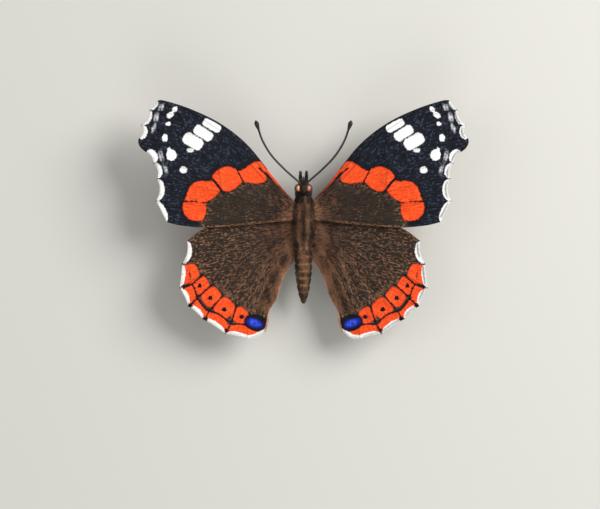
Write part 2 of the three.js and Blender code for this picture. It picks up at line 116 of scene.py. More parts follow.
FORE_FRINGE = [0.5, 0.65, 0.85, 0.0, 0.0, 1.2, 0.9, 1.0, 0.95]  # width of the white in each scallop
RED_BAND = [
    (7.6, 10.9), (8.6, 10.9), (9.8, 10.4), (11.0, 9.5), (11.8, 9.15), (12.8, 9.65), (14.2, 9.95),
    (15.5, 9.5), (16.7, 8.4), (16.9, 7.6), (17.6, 7.2), (18.9, 7.3), (20.2, 6.95), (21.1, 5.95),
    (21.6, 4.6), (22.0, 3.6), (22.3, 2.7), (22.1, 1.4), (21.2, 0.3), (19.9, -0.05), (18.6, 0.1),
    (18.0, 1.5), (18.0, 2.9), (17.7, 3.5), (16.8, 4.0), (16.0, 4.8), (15.3, 5.5), (14.4, 5.35),
    (13.5, 5.5), (12.5, 6.0), (11.4, 7.0), (10.5, 7.05), (9.3, 6.85), (7.9, 6.9), (6.9, 7.4), (7.0, 9.2),
]
BAND_LINES = [
    (0.15, [(10.9, 6.6), (12.3, 9.4)]), (0.24, [(14.8, 5.0), (16.0, 6.7), (17.2, 7.9)]),
    (0.14, [(19.6, 3.45), (21.0, 3.5), (22.6, 3.6)]), (0.1, [(17.4, 3.4), (18.6, 3.3)]),
    (0.18, [(6.0, 7.6), (8.2, 9.7)]),
]
BAND_CENTRE = [(7.6, 11.2), (8.6, 9.0), (13.0, 7.7), (17.6, 5.6), (19.8, 3.2), (19.6, 0.6), (18.8, -1.4)]

# Hindwing marks
RED_CELLS = [
    (20.95, -9.7, 1.55, 1.6, -20), (19.1, -12.0, 1.6, 1.5, -30), (17.05, -14.15, 1.75, 1.6, -36),
    (14.65, -16.25, 1.8, 1.75, -44), (11.8, -17.6, 1.45, 1.45, -52),
]
CELL_DOTS = [
    (21.0, -9.9, 0.14, 0.75, -8), (19.25, -12.05, 0.42, 0.4, 0), (17.3, -14.35, 0.45, 0.42, 0),
    (14.65, -16.5, 0.46, 0.42, 0), (11.5, -17.85, 0.44, 0.42, 0),
]
WAVY_LINE = [
    (22.4, -12.2), (20.7, -11.9), (20.0, -13.1), (19.6, -14.4), (18.5, -16.0), (17.4, -16.8), (15.8, -17.3),
    (14.5, -18.2), (13.6, -19.2), (11.5, -19.2), (10.2, -19.7),
]
CELL_LINES = [
    [(18.7, -10.1), (20.7, -11.8), (22.4, -12.4)], [(17.0, -11.9), (19.8, -14.5), (20.95, -15.7)],
    [(15.1, -14.1), (17.3, -16.6), (18.15, -18.2)], [(12.4, -15.7), (13.4, -19.1), (14.3, -20.4)],
]
MARGIN_DOTS = [
    (22.2, -12.4, 0.4, 0.34, 0), (20.95, -15.7, 0.44, 0.4, 0), (18.15, -18.25, 0.44, 0.4, 0),
    (14.25, -20.4, 0.44, 0.4, 0),
]
BLUE_SPOT = (9.05, -19.0, 1.6, 0.82, 18)
BLUE_RING = (8.75, -18.95, 2.25, 1.55, 15)
HIND_FRINGE = [0.95, 0.85, 0.85, 0.85, 0.85, 0.85]
INNER_STREAKS = [
    [(0.9, -4.4), (5.0, -11.4), (7.4, -17.0)], [(1.1, -4.9), (3.6, -9.5), (5.2, -13.0), (6.4, -16.5)],
    [(3.0, -5.2), (7.0, -11.5), (8.8, -16.6)], [(6.3, -6.2), (9.6, -15.6)],
]

# Where each wing's rows of scales and its hair spread from, as y beside the body
FORE_SCALE_ROOT, FORE_HAIR_ROOT = 1.0, 1.2
HIND_SCALE_ROOT, HIND_HAIR_ROOT = -2.0, -3.0


# Curves and distances
def run_along(line):
    return np.r_[0, np.cumsum(np.linalg.norm(np.diff(line, axis=0), axis=1))]


def resampled(line, spacing):
    run = run_along(line)
    at = np.linspace(0, run[-1], max(2, round(run[-1] / spacing)) + 1)
    return np.stack([np.interp(at, run, column) for column in line.T], axis=1)


def spline(points, spacing):
    """Evenly spaced points along a smooth curve through the given ones."""
    p = np.array(points, float)
    padded = np.vstack([p[:1], p, p[-1:]])
    steps = 24
    t = np.linspace(0, 1, steps, endpoint=False)[:, None]
    pieces = []
    for p0, p1, p2, p3 in zip(padded, padded[1:], padded[2:], padded[3:]):
        v0, v1 = (p2 - p0) / 2, (p3 - p1) / 2
        square, cube = 3 * p2 - 3 * p1 - 2 * v0 - v1, 2 * p1 - 2 * p2 + v0 + v1
        pieces.append(cube * t**3 + square * t**2 + v0 * t + p1)
    return resampled(np.vstack(pieces + [p[-1:]]), spacing)

def unit(vectors):
    return vectors / np.maximum(np.linalg.norm(vectors, axis=-1, keepdims=True), 1e-9)


def turned(vectors):
    """Plan vectors after a quarter turn clockwise."""
    return np.stack([vectors[:, 1], -vectors[:, 0]], axis=1)


def smoothstep(value, low, high):
    t = np.clip((value - low) / (high - low), 0, 1)
    return t * t * (3 - 2 * t)


def closed(line):
    return np.vstack([line, line[:1]])


def to_line(points, line, values=None):
    """Distance from each point to a polyline, and the value that the polyline has there."""
    line = np.array(line, float)
    values = np.zeros(len(line)) if values is None else values
    start, step = line[:-1], np.diff(line, axis=0)
    length2 = np.maximum((step**2).sum(1), 1e-12)
    distance, value = np.empty(len(points)), np.empty(len(points))
    chunk = 4000
    for low in range(0, len(points), chunk):
        away = points[low : low + chunk, None] - start
        share = np.clip((away * step).sum(2) / length2, 0, 1)
        gap = np.linalg.norm(away - share[..., None] * step, axis=2)
        near = gap.argmin(1)
        rows = np.arange(len(near))
        distance[low : low + chunk] = gap[rows, near]
        share = share[rows, near]
        value[low : low + chunk] = values[near] * (1 - share) + values[near + 1] * share
    return distance, value


def to_curve(points, line):
    return to_line(points, spline(line, 0.3))[0]


def to_curves(points, lines):
    return np.min([to_curve(points, line) for line in lines], axis=0)


def inside(points, outline):
    x, y = points[:, 0], points[:, 1]
    odd = np.zeros(len(points), bool)
    for (ax, ay), (bx, by) in zip(outline, np.roll(outline, 1, axis=0)):
        if ay != by:
            odd ^= ((ay > y) != (by > y)) & (x < (bx - ax) * (y - ay) / (by - ay) + ax)
    return odd


def to_region(points, outline):
    """Distance to a closed outline, negative inside it."""
    distance = to_line(points, closed(outline))[0]
    return np.where(inside(points, outline), -distance, distance)


def to_spots(points, spots, corner=1.0):
    """Distance to the nearest of some ovals, or of rounded blocks where corner is below 1."""
    best = np.full(len(points), FAR)
    for x, y, half_length, half_width, turn in spots:
        c, s = math.cos(math.radians(turn)), math.sin(math.radians(turn))
        local = (points - (x, y)) @ np.array([[c, -s], [s, c]])
        if corner < 1:
            radius = half_width * corner
            out = np.abs(local) - (half_length - radius, half_width - radius)
            gap = np.linalg.norm(np.maximum(out, 0), axis=1) + np.minimum(out.max(1), 0) - radius
        else:
            share = np.linalg.norm(local / (half_length, half_width), axis=1)
            gap = (share - 1) * min(half_length, half_width)
        best = np.minimum(best, gap)
    return best


# Wing sheets
MEMBRANE = 0.07  # half of its thickness
GRID = 0.19  # between the points of a wing's mesh
LINE_STEP = 0.17  # between the points along its edge and its veins
PLAN_STEP = 0.3  # between the points of its plain outline
FRINGE = 0.3  # length of the scales past the membrane's edge, in the white scallops
ROOT_HEIGHT, SLOPE, DROOP, FORWARD_SLOPE = 7.4, 0.155, 0.0022, 0.012  # of the forewing's solid
HIND_DROP, BACK_SLOPE, BODY_DIP = 1.15, 0.045, 0.9  # of the hindwing's solid, from the forewing's
FORE_LOWER, HIND_LOWER = -0.1, 0.12  # from the solids' middle surface to the sheet's


def fore_height(x, y):
    out = x - 2
    return ROOT_HEIGHT + SLOPE * out - DROOP * out * out + FORWARD_SLOPE * y


def fore_level(x, y):
    return fore_height(x, y) + FORE_LOWER


def hind_level(x, y):
    back = np.maximum(0, -1.5 - y)
    beside_body = np.clip((5 - x) / 4, 0, 1) * np.clip(back / 4, 0, 1)
    return fore_height(x, y) - HIND_DROP - BACK_SLOPE * back - BODY_DIP * beside_body + HIND_LOWER


def toothed_margin(teeth, widths):
    """The outer margin as (x, y, width of its white) from the first tooth to the last."""
    line = []
    for (ax, ay, depth), (bx, by, _), wide in zip(teeth, teeth[1:], widths):
        chord = np.array([bx - ax, by - ay])
        length = np.linalg.norm(chord)
        inward = np.array([chord[1], -chord[0]]) / length
        for share in np.linspace(0, 1, max(2, round(length / PLAN_STEP)), endpoint=False):
            arch = 4 * share * (1 - share)
            line.append((*(np.array([ax, ay]) + chord * share + inward * depth * arch), wide * arch**0.5))
    line.append((*teeth[-1][:2], 0))
    return np.array(line)


def inward_of(line, reach):
    """Unit vectors from the margin into the wing, evened out over a few points each way."""
    tangent = unit(np.gradient(line, axis=0))
    box = np.ones(2 * reach + 1) / (2 * reach + 1)
    even = np.stack([np.convolve(np.pad(c, reach, "edge"), box, "valid") for c in tangent.T], axis=1)
    return unit(turned(even))


def hex_grid(low, high, spacing):
    row_share = 0.866  # of the spacing, between the rows
    rows = []
    for i, y in enumerate(np.arange(low[1], high[1], spacing * row_share)):
        x = np.arange(low[0] + (i % 2) * spacing / 2, high[0], spacing)
        rows.append(np.column_stack([x, np.full(len(x), y)]))
    return np.vstack(rows)


def membrane_edge(margin):
    """The margin drawn in by the length of the fringe, which has no length at the margin's ends."""
    run = np.linspace(0, 1, len(margin))
    parts = 18  # the fringe grows to its length over one of so many parts at either end
    ends = np.minimum(1, np.minimum(run, 1 - run) * parts)
    inset = FRINGE * (0.3 + 0.7 * smoothstep(margin[:, 2], 0, 0.4)) * ends
    return resampled(margin[:, :2] + inward_of(margin[:, :2], 2) * inset[:, None], LINE_STEP)


def meshed(rim, lines):
    """Points and triangles inside a rim, with rows of points along the given lines."""
    grid = hex_grid(rim.min(0), rim.max(0), GRID)
    grid = grid[inside(grid, rim)]
    clear = to_line(grid, closed(rim))[0] > GRID * 0.6
    for line in lines:
        clear &= to_line(grid, line)[0] > GRID * 0.55
    on_lines = np.vstack(lines)
    on_lines = on_lines[inside(on_lines, rim) & (to_line(on_lines, closed(rim))[0] > GRID * 0.5)]
    closest = 0.08  # between points on lines that cross
    _, kept = np.unique(np.round(on_lines / closest), axis=0, return_index=True)
    points = np.vstack([rim, on_lines[np.sort(kept)], grid[clear]])
    out = delaunay_2d_cdt([Vector(p) for p in points], [], [list(range(len(rim)))], 1, 1e-6)
    plan = np.array([tuple(v) for v in out[0]])
    triangles = np.array([f for f in out[2] if len(f) == 3])
    a, b, c = (plan[triangles[:, k]] for k in range(3))
    clockwise = (b - a)[:, 0] * (c - a)[:, 1] < (b - a)[:, 1] * (c - a)[:, 0]
    triangles[clockwise] = triangles[clockwise][:, ::-1]
    return plan, triangles


def wing_sheet(costa, margin, inner, veins, drawn_lines, level):
    """The right wing's plan, its triangles and the heights of its two faces."""
    edge = membrane_edge(margin)
    rim = np.vstack([spline(costa, LINE_STEP)[:-1], edge[:-1], resampled(inner, LINE_STEP)[:-1]])
    lines = [spline(line, LINE_STEP) for line in veins + drawn_lines]
    plan, triangles = meshed(rim, lines)
    vein = np.min([to_line(plan, line)[0] for line in lines[: len(veins)]], axis=0)
    vein_height, vein_taper, vein_width, wing_reach = 0.13, 0.07, 0.17, 28
    outward = np.clip(np.linalg.norm(plan, axis=1) / wing_reach, 0, 1)
    ridge = (vein_height - vein_taper * outward) * np.exp(-((vein / vein_width) ** 2))
    sag = -0.11 * smoothstep(vein, 0.1, 1.4) + 0.03 * np.sin(plan[:, 0] * 1.3 + 0.6 * np.sin(plan[:, 1]))
    middle = level(plan[:, 0], plan[:, 1]) + sag
    outline = np.vstack([spline(costa, PLAN_STEP)[:-1], margin[:-1, :2], inner[:-1]])
    return {
        "plan": plan, "triangles": triangles, "outline": outline, "margin": margin, "inner": inner,
        "vein": vein, "level": level,
        "top": middle + MEMBRANE + ridge, "bottom": middle - MEMBRANE - ridge * 0.7,
    }


def fore_sheet():
    margin = toothed_margin(FORE_TEETH, FORE_FRINGE)
    drawn = [line for _, line in BAND_LINES]
    inner = spline(FORE_INNER, PLAN_STEP)
    return wing_sheet(FORE_COSTA, margin, inner, FORE_VEINS, drawn, fore_level)


def hind_sheet():
    """As the forewing, with the white fringe led on round the tail corner."""
    margin = toothed_margin(HIND_TEETH, HIND_FRINGE)
    inner = spline(HIND_INNER, PLAN_STEP)
    corner, white = 16, 0.82  # how many points of the inner edge it takes in, and the width of the white
    left = np.minimum(1, 2.4 * np.linspace(1, 0, corner))
    tail = np.column_stack([inner[:corner], white * left**0.7])
    margin[-6:, 2] = white
    margin = np.vstack([margin[:-1], tail])
    drawn = CELL_LINES + [WAVY_LINE]
    return wing_sheet(HIND_COSTA, margin, inner[corner - 1 :], HIND_VEINS, drawn, hind_level)


# Wing marks: each mark's distance at every point of the plan, in millimetres, negative inside the mark
def from_root(plan, root_y):
    """Distance from a place at the wing's root."""
    return np.hypot(plan[:, 0], plan[:, 1] - root_y)


def scale_rows(plan, root_y):
    """The place of each point in the rows of scales, which lie across the lines from the wing's root."""
    angle = np.arctan2(plan[:, 1] - root_y, plan[:, 0])
    scale_length, scale_width, usual_radius = 0.15, 0.11, 15
    row = from_root(plan, root_y) / scale_length
    return np.column_stack([row, angle * usual_radius / scale_width, np.zeros(len(plan))])


def fore_marks(wing):
    plan = wing["plan"]
    x, y = plan.T
    edge, width = to_line(plan, wing["margin"][:, :2], wing["margin"][:, 2])
    costa = to_curve(plan, FORE_COSTA)
    inner = to_curve(plan, FORE_INNER)
    band = to_region(plan, spline(RED_BAND + RED_BAND[:1], 0.25)[:-1])
    strip = np.maximum(costa - (0.16 + 0.04 * x), np.maximum(y - 10.6, 4.1 - y))
    white = np.minimum(to_spots(plan, FORE_BLOCKS, 0.7), to_spots(plan, FORE_SPOTS))
    lines = np.min([to_curve(plan, line) - half for half, line in BAND_LINES], axis=0)
    basal = np.vstack([[(0, 0), (0, 4), (4.6, 8.6)], spline(BAND_CENTRE, 0.5), [(18.5, -3), (0, -3)]])
    pale_rim = smoothstep(inner, 0.55, 0.1) * smoothstep(x, 21, 15)
    by_band = smoothstep(np.abs(band), 1.6, 0.2)
    at_root = smoothstep(from_root(plan, FORE_SCALE_ROOT), 5, 1)
    return {
        "red": np.minimum(band, strip),
        "white": np.minimum(white, edge - width),
        "speck": to_spots(plan, FORE_SPECKS),
        "dark": np.minimum(lines, np.maximum(costa - 0.13, 9.5 - y)),
        "navy": -to_region(plan, basal),
        "tan": 0.03 + 0.8 * pale_rim + 0.3 * by_band + 0.3 * at_root,
        "under": 27 - x - 0.25 * y,
        "lie": scale_rows(plan, FORE_SCALE_ROOT),
    }


def hind_marks(wing):
    plan = wing["plan"]
    x, y = plan.T
    edge, width = to_line(plan, wing["margin"][:, :2], wing["margin"][:, 2])
    costa = to_curve(plan, HIND_COSTA)
    inner = to_line(plan, wing["inner"])[0]
    discs = to_spots(plan, RED_CELLS, 0.72)
    past_wavy = np.vstack([spline(WAVY_LINE, 0.3), [(8.6, -20.3), (7.9, -23), (26, -23), (26, -12.2)]])
    strip = np.maximum(edge - 2.4, to_region(plan, past_wavy))
    first_cell = to_region(plan, np.array([(20.5, -8.2), (24, -8.2), (24, -12.2), (20.8, -11.6)]))
    ring = to_spots(plan, [BLUE_RING])
    red = np.minimum(np.minimum(discs, strip), first_cell)
    dots = to_spots(plan, CELL_DOTS + MARGIN_DOTS)
    lines = np.maximum(to_curves(plan, CELL_LINES + [WAVY_LINE]) - 0.16, width - edge)
    hairy = smoothstep(inner, 2.4, 0.1) * smoothstep(x, 10.5, 6.5) * smoothstep(y, -18.5, -15.5)
    streaks = np.exp(-((to_curves(plan, INNER_STREAKS) / 0.28) ** 2)) * smoothstep(y, -18.0, -15.0)
    tan = 0.28 + 0.5 * hairy + 0.38 * streaks + 0.25 * smoothstep(from_root(plan, HIND_HAIR_ROOT), 6, 1)
    eye_places = [(cx - 0.6, cy + 0.6) for cx, cy, *_ in RED_CELLS[1:]]
    return {
        "red": np.maximum(red, -ring),
        "white": np.maximum(edge - width, -dots),
        "dark": np.minimum(np.minimum(lines, dots), np.maximum(ring, 0.15 + width - edge)),
        "blue": to_spots(plan, [BLUE_SPOT]),
        "tan": tan + 0.4 * smoothstep(costa, 0.7, 0.1) + 0.25 * smoothstep(red, 1.8, 0.3),
        "under": to_spots(plan, [(13.0, -0.9, 1.7, 0.9, 0)]),
        "eyes": to_spots(plan, [(cx, cy, 0.9, 0.9, 0) for cx, cy in eye_places]),
        "pupils": to_spots(plan, [(cx, cy, 0.4, 0.4, 0) for cx, cy in eye_places]),
        "lie": scale_rows(plan, HIND_SCALE_ROOT),
    }


# Objects
def new_object(name, points, faces, material, replaced=()):
    """A smooth mesh object from points in millimetres in the animal's plan."""
    placed = (np.array(points, float) + (0, SHIFT_Y, 0)) * 0.001
    mesh = bpy.data.meshes.new(name)
    mesh.from_pydata(placed.tolist(), [], faces)
    mesh.polygons.foreach_set("use_smooth", np.full(len(mesh.polygons), True))
    mesh.materials.append(material)
    item = bpy.data.objects.new(name, mesh)
    bpy.context.scene.collection.objects.link(item)
    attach(item, "root")
    if replaced:
        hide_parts(*replaced)
    return item


def store(item, name, values):
    """A value, or a vector, for each point of the mesh."""
    kind, field = ("FLOAT", "value") if values.ndim == 1 else ("FLOAT_VECTOR", "vector")
    attribute = item.data.attributes.new(name, kind, "POINT")
    attribute.data.foreach_set(field, np.ascontiguousarray(values, np.float32).ravel())


def store_uv(item, uv):
    """The map OFBake, from one place on the map for each point."""
    layer = item.data.uv_layers.new(name="OFBake")
    vertex = np.empty(len(item.data.loops), np.int32)
    item.data.loops.foreach_get("vertex_index", vertex)
    layer.data.foreach_set("uv", np.ascontiguousarray(uv[vertex], np.float32).ravel())


def grid_faces(rings, sides):
    """Quads round a tube whose points run ring by ring, and the two ends."""
    index = np.arange(rings * sides).reshape(rings, sides)
    beside = np.roll(index, -1, 1)
    quads = np.stack([index[:-1], beside[:-1], beside[1:], index[1:]], axis=-1).reshape(-1, 4)
    return quads.tolist() + [index[0][::-1].tolist(), index[-1].tolist()]


# Paints
def linear(*screen):
    """A screen colour, each channel from 11 to 255, as linear light."""
    return (*(((value / 255 + 0.055) / 1.055) ** 2.4 for value in screen), 1)


class Paint:
    """A material and its node tree, built by calls that return sockets."""

    def __init__(self, name, roughness=0.7, **sockets):
        self.material = bpy.data.materials.new(name)
        self.material.use_nodes = True
        self.tree = self.material.node_tree
        self.shader = self.tree.nodes["Principled BSDF"]
        self.shader.inputs["Roughness"].default_value = roughness
        for key, value in sockets.items():
            self.shader.inputs[key.replace("_", " ")].default_value = value
        place = self.tree.nodes.new("ShaderNodeTexCoord").outputs["Object"]
        self.place = self.scaled(place, (1000, 1000, 1000))  # in millimetres

    def put(self, kind, values, **settings):
        node = self.tree.nodes.new("ShaderNode" + kind)
        for key, value in settings.items():
            setattr(node, key, value)
        for key, value in values.items():
            if isinstance(value, bpy.types.NodeSocket):
                self.tree.links.new(value, node.inputs[key])
            else:
                node.inputs[key].default_value = value
        return node

    def math(self, operation, a, b=0.0):
        return self.put("Math", {0: a, 1: b}, operation=operation).outputs[0]

    def add(self, *terms):
        total = terms[0]
        for term in terms[1:]:
            total = self.math("ADD", total, term)
        return total

    def times(self, a, b):
        return self.math("MULTIPLY", a, b)

    def swing(self, value, reach):
        """A value from 0 to 1 as an offset from -reach to reach."""
        return self.times(self.math("SUBTRACT", value, 0.5), 2 * reach)

    def step(self, value, low, high, to_low=0.0, to_high=1.0):
        values = {"Value": value, "From Min": low, "From Max": high, "To Min": to_low, "To Max": to_high}
        return self.put("MapRange", values, interpolation_type="SMOOTHSTEP").outputs[0]

    def mix(self, share, a, b):
        """Colours are sockets or screen values."""
        a, b = (linear(*colour) if isinstance(colour, tuple) else colour for colour in (a, b))
        return self.put("MixRGB", {"Fac": share, "Color1": a, "Color2": b}).outputs[0]

    def layered(self, base, *layers):
        """A colour with layers over it, each given as its share and its colour."""
        for share, colour in layers:
            base = self.mix(share, base, colour)
        return base

    def brightness(self, colour, value):
        return self.put("HueSaturation", {"Value": value, "Color": colour}).outputs[0]

    def attribute(self, name, output="Fac"):
        return self.put("Attribute", {}, attribute_name=name).outputs[output]

    def scaled(self, vector, scale):
        return self.put("VectorMath", {0: vector, 1: scale}, operation="MULTIPLY").outputs[0]

    def noise(self, vector, scale, detail=2.0, roughness=0.5):
        values = {"Vector": vector, "Scale": scale, "Detail": detail, "Roughness": roughness}
        return self.put("TexNoise", values).outputs["Fac"]

    def cells(self, vector):
        """A flat cell pattern: two random values per cell, and the distance from the cell's middle."""
        node = self.put("TexVoronoi", {"Vector": vector, "Scale": 1.0}, voronoi_dimensions="2D")
        shade = self.put("SeparateColor", {"Color": node.outputs["Color"]})
        return shade.outputs[0], shade.outputs[1], node.outputs["Distance"]

    def colour(self, socket):
        self.tree.links.new(socket, self.shader.inputs["Base Color"])

    def bump(self, height, strength, distance):
        values = {"Height": height, "Strength": strength, "Distance": distance}
        self.tree.links.new(self.put("Bump", values).outputs[0], self.shader.inputs["Normal"])


# Screen colours
NAVY, LIGHT_NAVY, BLACK = (29, 35, 48), (66, 76, 96), (16, 16, 20)
BROWN, DARK_BROWN = (63, 50, 40), (38, 30, 25)
TAN, PALE_TAN = (116, 86, 62), (166, 116, 84)
RED, DEEP_RED, LIGHT_RED = (250, 84, 32), (222, 58, 20), (255, 122, 62)
RED_BROWN = (96, 44, 24)
WHITE, GREY_WHITE = (248, 247, 244), (176, 178, 182)
BLUE, LIGHT_BLUE = (24, 38, 150), (60, 88, 226)


def wing_top(name):
    """Brown and night blue ground with tan flecks, and the marks over it, all in rows of scales."""
    paint = Paint(name, Specular_IOR_Level=0.12)
    add, mix, step, swing, times = paint.add, paint.mix, paint.step, paint.swing, paint.times
    lie = paint.attribute("lie", "Vector")
    pick, other, middle = paint.cells(lie)
    speck, speck_shade, _ = paint.cells(paint.scaled(lie, (0.4, 0.85, 1)))
    streak = paint.noise(paint.scaled(lie, (0.1, 0.7, 1)), 1.0, 3.0)
    across = paint.noise(paint.scaled(lie, (0.45, 0.16, 1)), 1.0, 2.0)
    cloud = paint.noise(paint.place, 0.35, 3.0)
    shake = add(swing(pick, 0.09), swing(paint.noise(paint.place, 2.4, 2.0), 0.11))

    def covers(mark, soft=0.06):
        return step(add(paint.attribute(mark), shake), soft, -soft)

    def near(mark, far, close, share=1.0):
        return times(step(paint.attribute(mark), far, close), share)

    tan_share = add(paint.attribute("tan"), swing(cloud, 0.25), swing(across, 0.15))
    fleck = step(paint.math("SUBTRACT", tan_share, speck), -0.05, 0.12)
    ground = paint.layered(
        mix(step(add(streak, swing(across, 0.2)), 0.4, 0.68), DARK_BROWN, BROWN),
        (times(fleck, 0.6), mix(speck_shade, TAN, PALE_TAN)),
        (near("red", 0.5, 0.05, 0.5), BLACK),
    )
    blue_fleck = step(add(speck, swing(across, 0.2)), 0.78, 0.92)
    night = paint.layered(
        mix(step(streak, 0.4, 0.7), BLACK, NAVY),
        (times(blue_fleck, 0.55), LIGHT_NAVY),
        (near("red", 1.3, 0.2, 0.8), BLACK),
    )
    sideways = paint.math("ABSOLUTE", paint.put("SeparateXYZ", {0: paint.place}).outputs[0])
    red = paint.layered(
        mix(step(add(streak, swing(across, 0.15)), 0.36, 0.6), DEEP_RED, RED),
        (times(step(other, 0.75, 0.95), 0.5), LIGHT_RED),
        (near("red", -0.35, 0.0, 0.55), DEEP_RED),
        (step(sideways, 7.6, 2.6, 0.0, 0.7), RED_BROWN),
    )
    glow = times(step(add(pick, swing(cloud, 0.3)), 0.2, 0.8), near("blue", -0.05, -0.5))
    base = paint.layered(
        mix(covers("navy", 0.5), ground, night),
        (covers("red"), red),
        (times(covers("speck", 0.14), step(other, 0.1, 0.5, 0.35, 0.95)), mix(pick, GREY_WHITE, WHITE)),
        (covers("white"), mix(times(pick, 0.2), WHITE, GREY_WHITE)),
        (covers("dark"), BLACK),
        (covers("blue", 0.12), mix(glow, BLUE, LIGHT_BLUE)),
        (step(paint.attribute("vein"), 0.22, 0.02, 0.0, 0.3), BLACK),
    )
    paint.colour(paint.brightness(base, step(pick, 0.0, 1.0, 0.82, 1.14)))
    paint.bump(add(times(middle, -0.6), times(streak, 0.7), times(speck, 0.3)), 0.6, 0.00005)
    return paint.material


def wing_under(name, hind):
    """The underside: marbled as bark on the hindwing, a paler copy of the top on the forewing."""
    paint = Paint(name, roughness=0.75, Specular_IOR_Level=0.12)
    add, mix, step, times = paint.add, paint.mix, paint.step, paint.times
    lie = paint.attribute("lie", "Vector")
    pick, _, middle = paint.cells(lie)
    cloud = paint.noise(paint.place, 0.32, 4.0, 0.6)
    marble = paint.noise(paint.place, 1.1, 4.0, 0.65)
    streak = paint.noise(paint.scaled(lie, (0.1, 0.7, 1)), 1.0, 3.0)
    shake = paint.swing(pick, 0.12)

    def covers(mark, soft=0.12):
        return step(add(paint.attribute(mark), shake), soft, -soft)

    bark = paint.layered(
        mix(step(marble, 0.35, 0.62), (46, 36, 32), (112, 88, 68)),
        (step(cloud, 0.5, 0.68), (150, 134, 116)),
        (step(streak, 0.6, 0.75, 0.0, 0.6), (30, 26, 28)),
    )
    if hind:
        base = paint.layered(
            bark,
            (covers("under", 0.3), (196, 178, 148)),
            (covers("eyes"), (40, 46, 50)),
            (covers("pupils"), (120, 140, 96)),
        )
    else:
        base = paint.layered(
            mix(covers("navy", 0.5), (44, 36, 36), (30, 30, 38)),
            (covers("under", 0.5), bark),
            (covers("red"), (226, 84, 64)),
            (covers("white"), (236, 230, 216)),
            (covers("dark"), BLACK),
        )
    base = mix(step(paint.attribute("vein"), 0.25, 0.02, 0.0, 0.4), base, (90, 74, 60))
    paint.colour(paint.brightness(base, step(pick, 0.0, 1.0, 0.8, 1.15)))
    paint.bump(add(times(middle, -0.6), times(streak, 0.7)), 0.5, 0.00005)
    return paint.material


def fringe_paint():
    paint = Paint("fringe_scales", roughness=0.75, Specular_IOR_Level=0.15)
    white = paint.mix(paint.attribute("tone"), (222, 218, 210), WHITE)
    dark = paint.mix(paint.attribute("tone"), BLACK, DARK_BROWN)
    paint.colour(paint.mix(paint.step(paint.attribute("pale"), 0.4, 0.6), dark, white))
    return paint.material


def hair_paint(name, dark, light, tip):
    """Hair whose tone runs from dark to light, the light ones paler to the tip."""
    paint = Paint(name, roughness=0.6, Sheen_Weight=0.05, Specular_IOR_Level=0.2)
    tone = paint.attribute("tone")
    base = paint.mix(tone, dark, light)
    paint.colour(paint.mix(paint.times(paint.times(paint.attribute("tip"), tone), 0.6), base, tip))
    return paint.material


def horn_paint(name, dark, light):
    """The paint and its colour, so that more can be laid over it."""
    paint = Paint(name, roughness=0.5, Specular_IOR_Level=0.35)
    base = paint.mix(paint.step(paint.noise(paint.place, 6.0, 3.0), 0.4, 0.65), dark, light)
    paint.colour(base)
    paint.bump(paint.noise(paint.place, 15.0, 2.0), 0.4, 0.00004)
    return paint, base


def feeler_paint():
    """Dark horn with pale rings along the shaft, and a pale tip."""
    paint, base = horn_paint("feeler_rings", (22, 19, 20), (44, 38, 34))
    ring = paint.math("FRACT", paint.times(paint.attribute("run"), FEELER_RINGS))
    share = paint.attribute("share")
    pale = paint.times(paint.step(ring, 0.78, 0.86), paint.step(share, 0.84, 0.8, 0.0, 0.4))
    tip = paint.step(share, 0.985, 0.998)
    paint.colour(paint.layered(base, (pale, (150, 142, 128)), (tip, (190, 166, 124))))
    return paint.material


def eye_paint():
    """Brown and faceted, with a painted peach highlight on the upper side."""
    paint = Paint("eye_facets", 0.25, Specular_IOR_Level=0.5, Coat_Weight=0.3, Coat_Roughness=0.15)
    facet = paint.put("TexVoronoi", {"Vector": paint.place, "Scale": 12.0}).outputs["Distance"]
    # The peach mixed in here is a painted highlight on the eye's upper side, not the eye's own colour
    tone = paint.layered(
        paint.mix(paint.attribute("painted_highlight"), (54, 36, 27), (248, 172, 128)),
        (paint.step(paint.noise(paint.place, 1.8), 0.35, 0.75, 0.0, 0.5), (150, 84, 52)),
        (paint.step(facet, 0.3, 0.65, 0.0, 0.45), (70, 38, 24)),
    )
    paint.colour(tone)
    paint.bump(facet, 0.35, 0.00003)
    return paint.material


def skin_paint():
    paint = Paint("body_scales", roughness=0.7, Specular_IOR_Level=0.2)
    speckle = paint.noise(paint.place, 3.5, 3.0)
    base = paint.mix(paint.step(speckle, 0.35, 0.7), (30, 24, 20), (70, 52, 40))
    paint.colour(paint.mix(paint.times(paint.attribute("ring"), 0.55), base, (142, 104, 76)))
    paint.bump(paint.noise(paint.place, 9.0, 3.0), 0.5, 0.00008)
    return paint.material


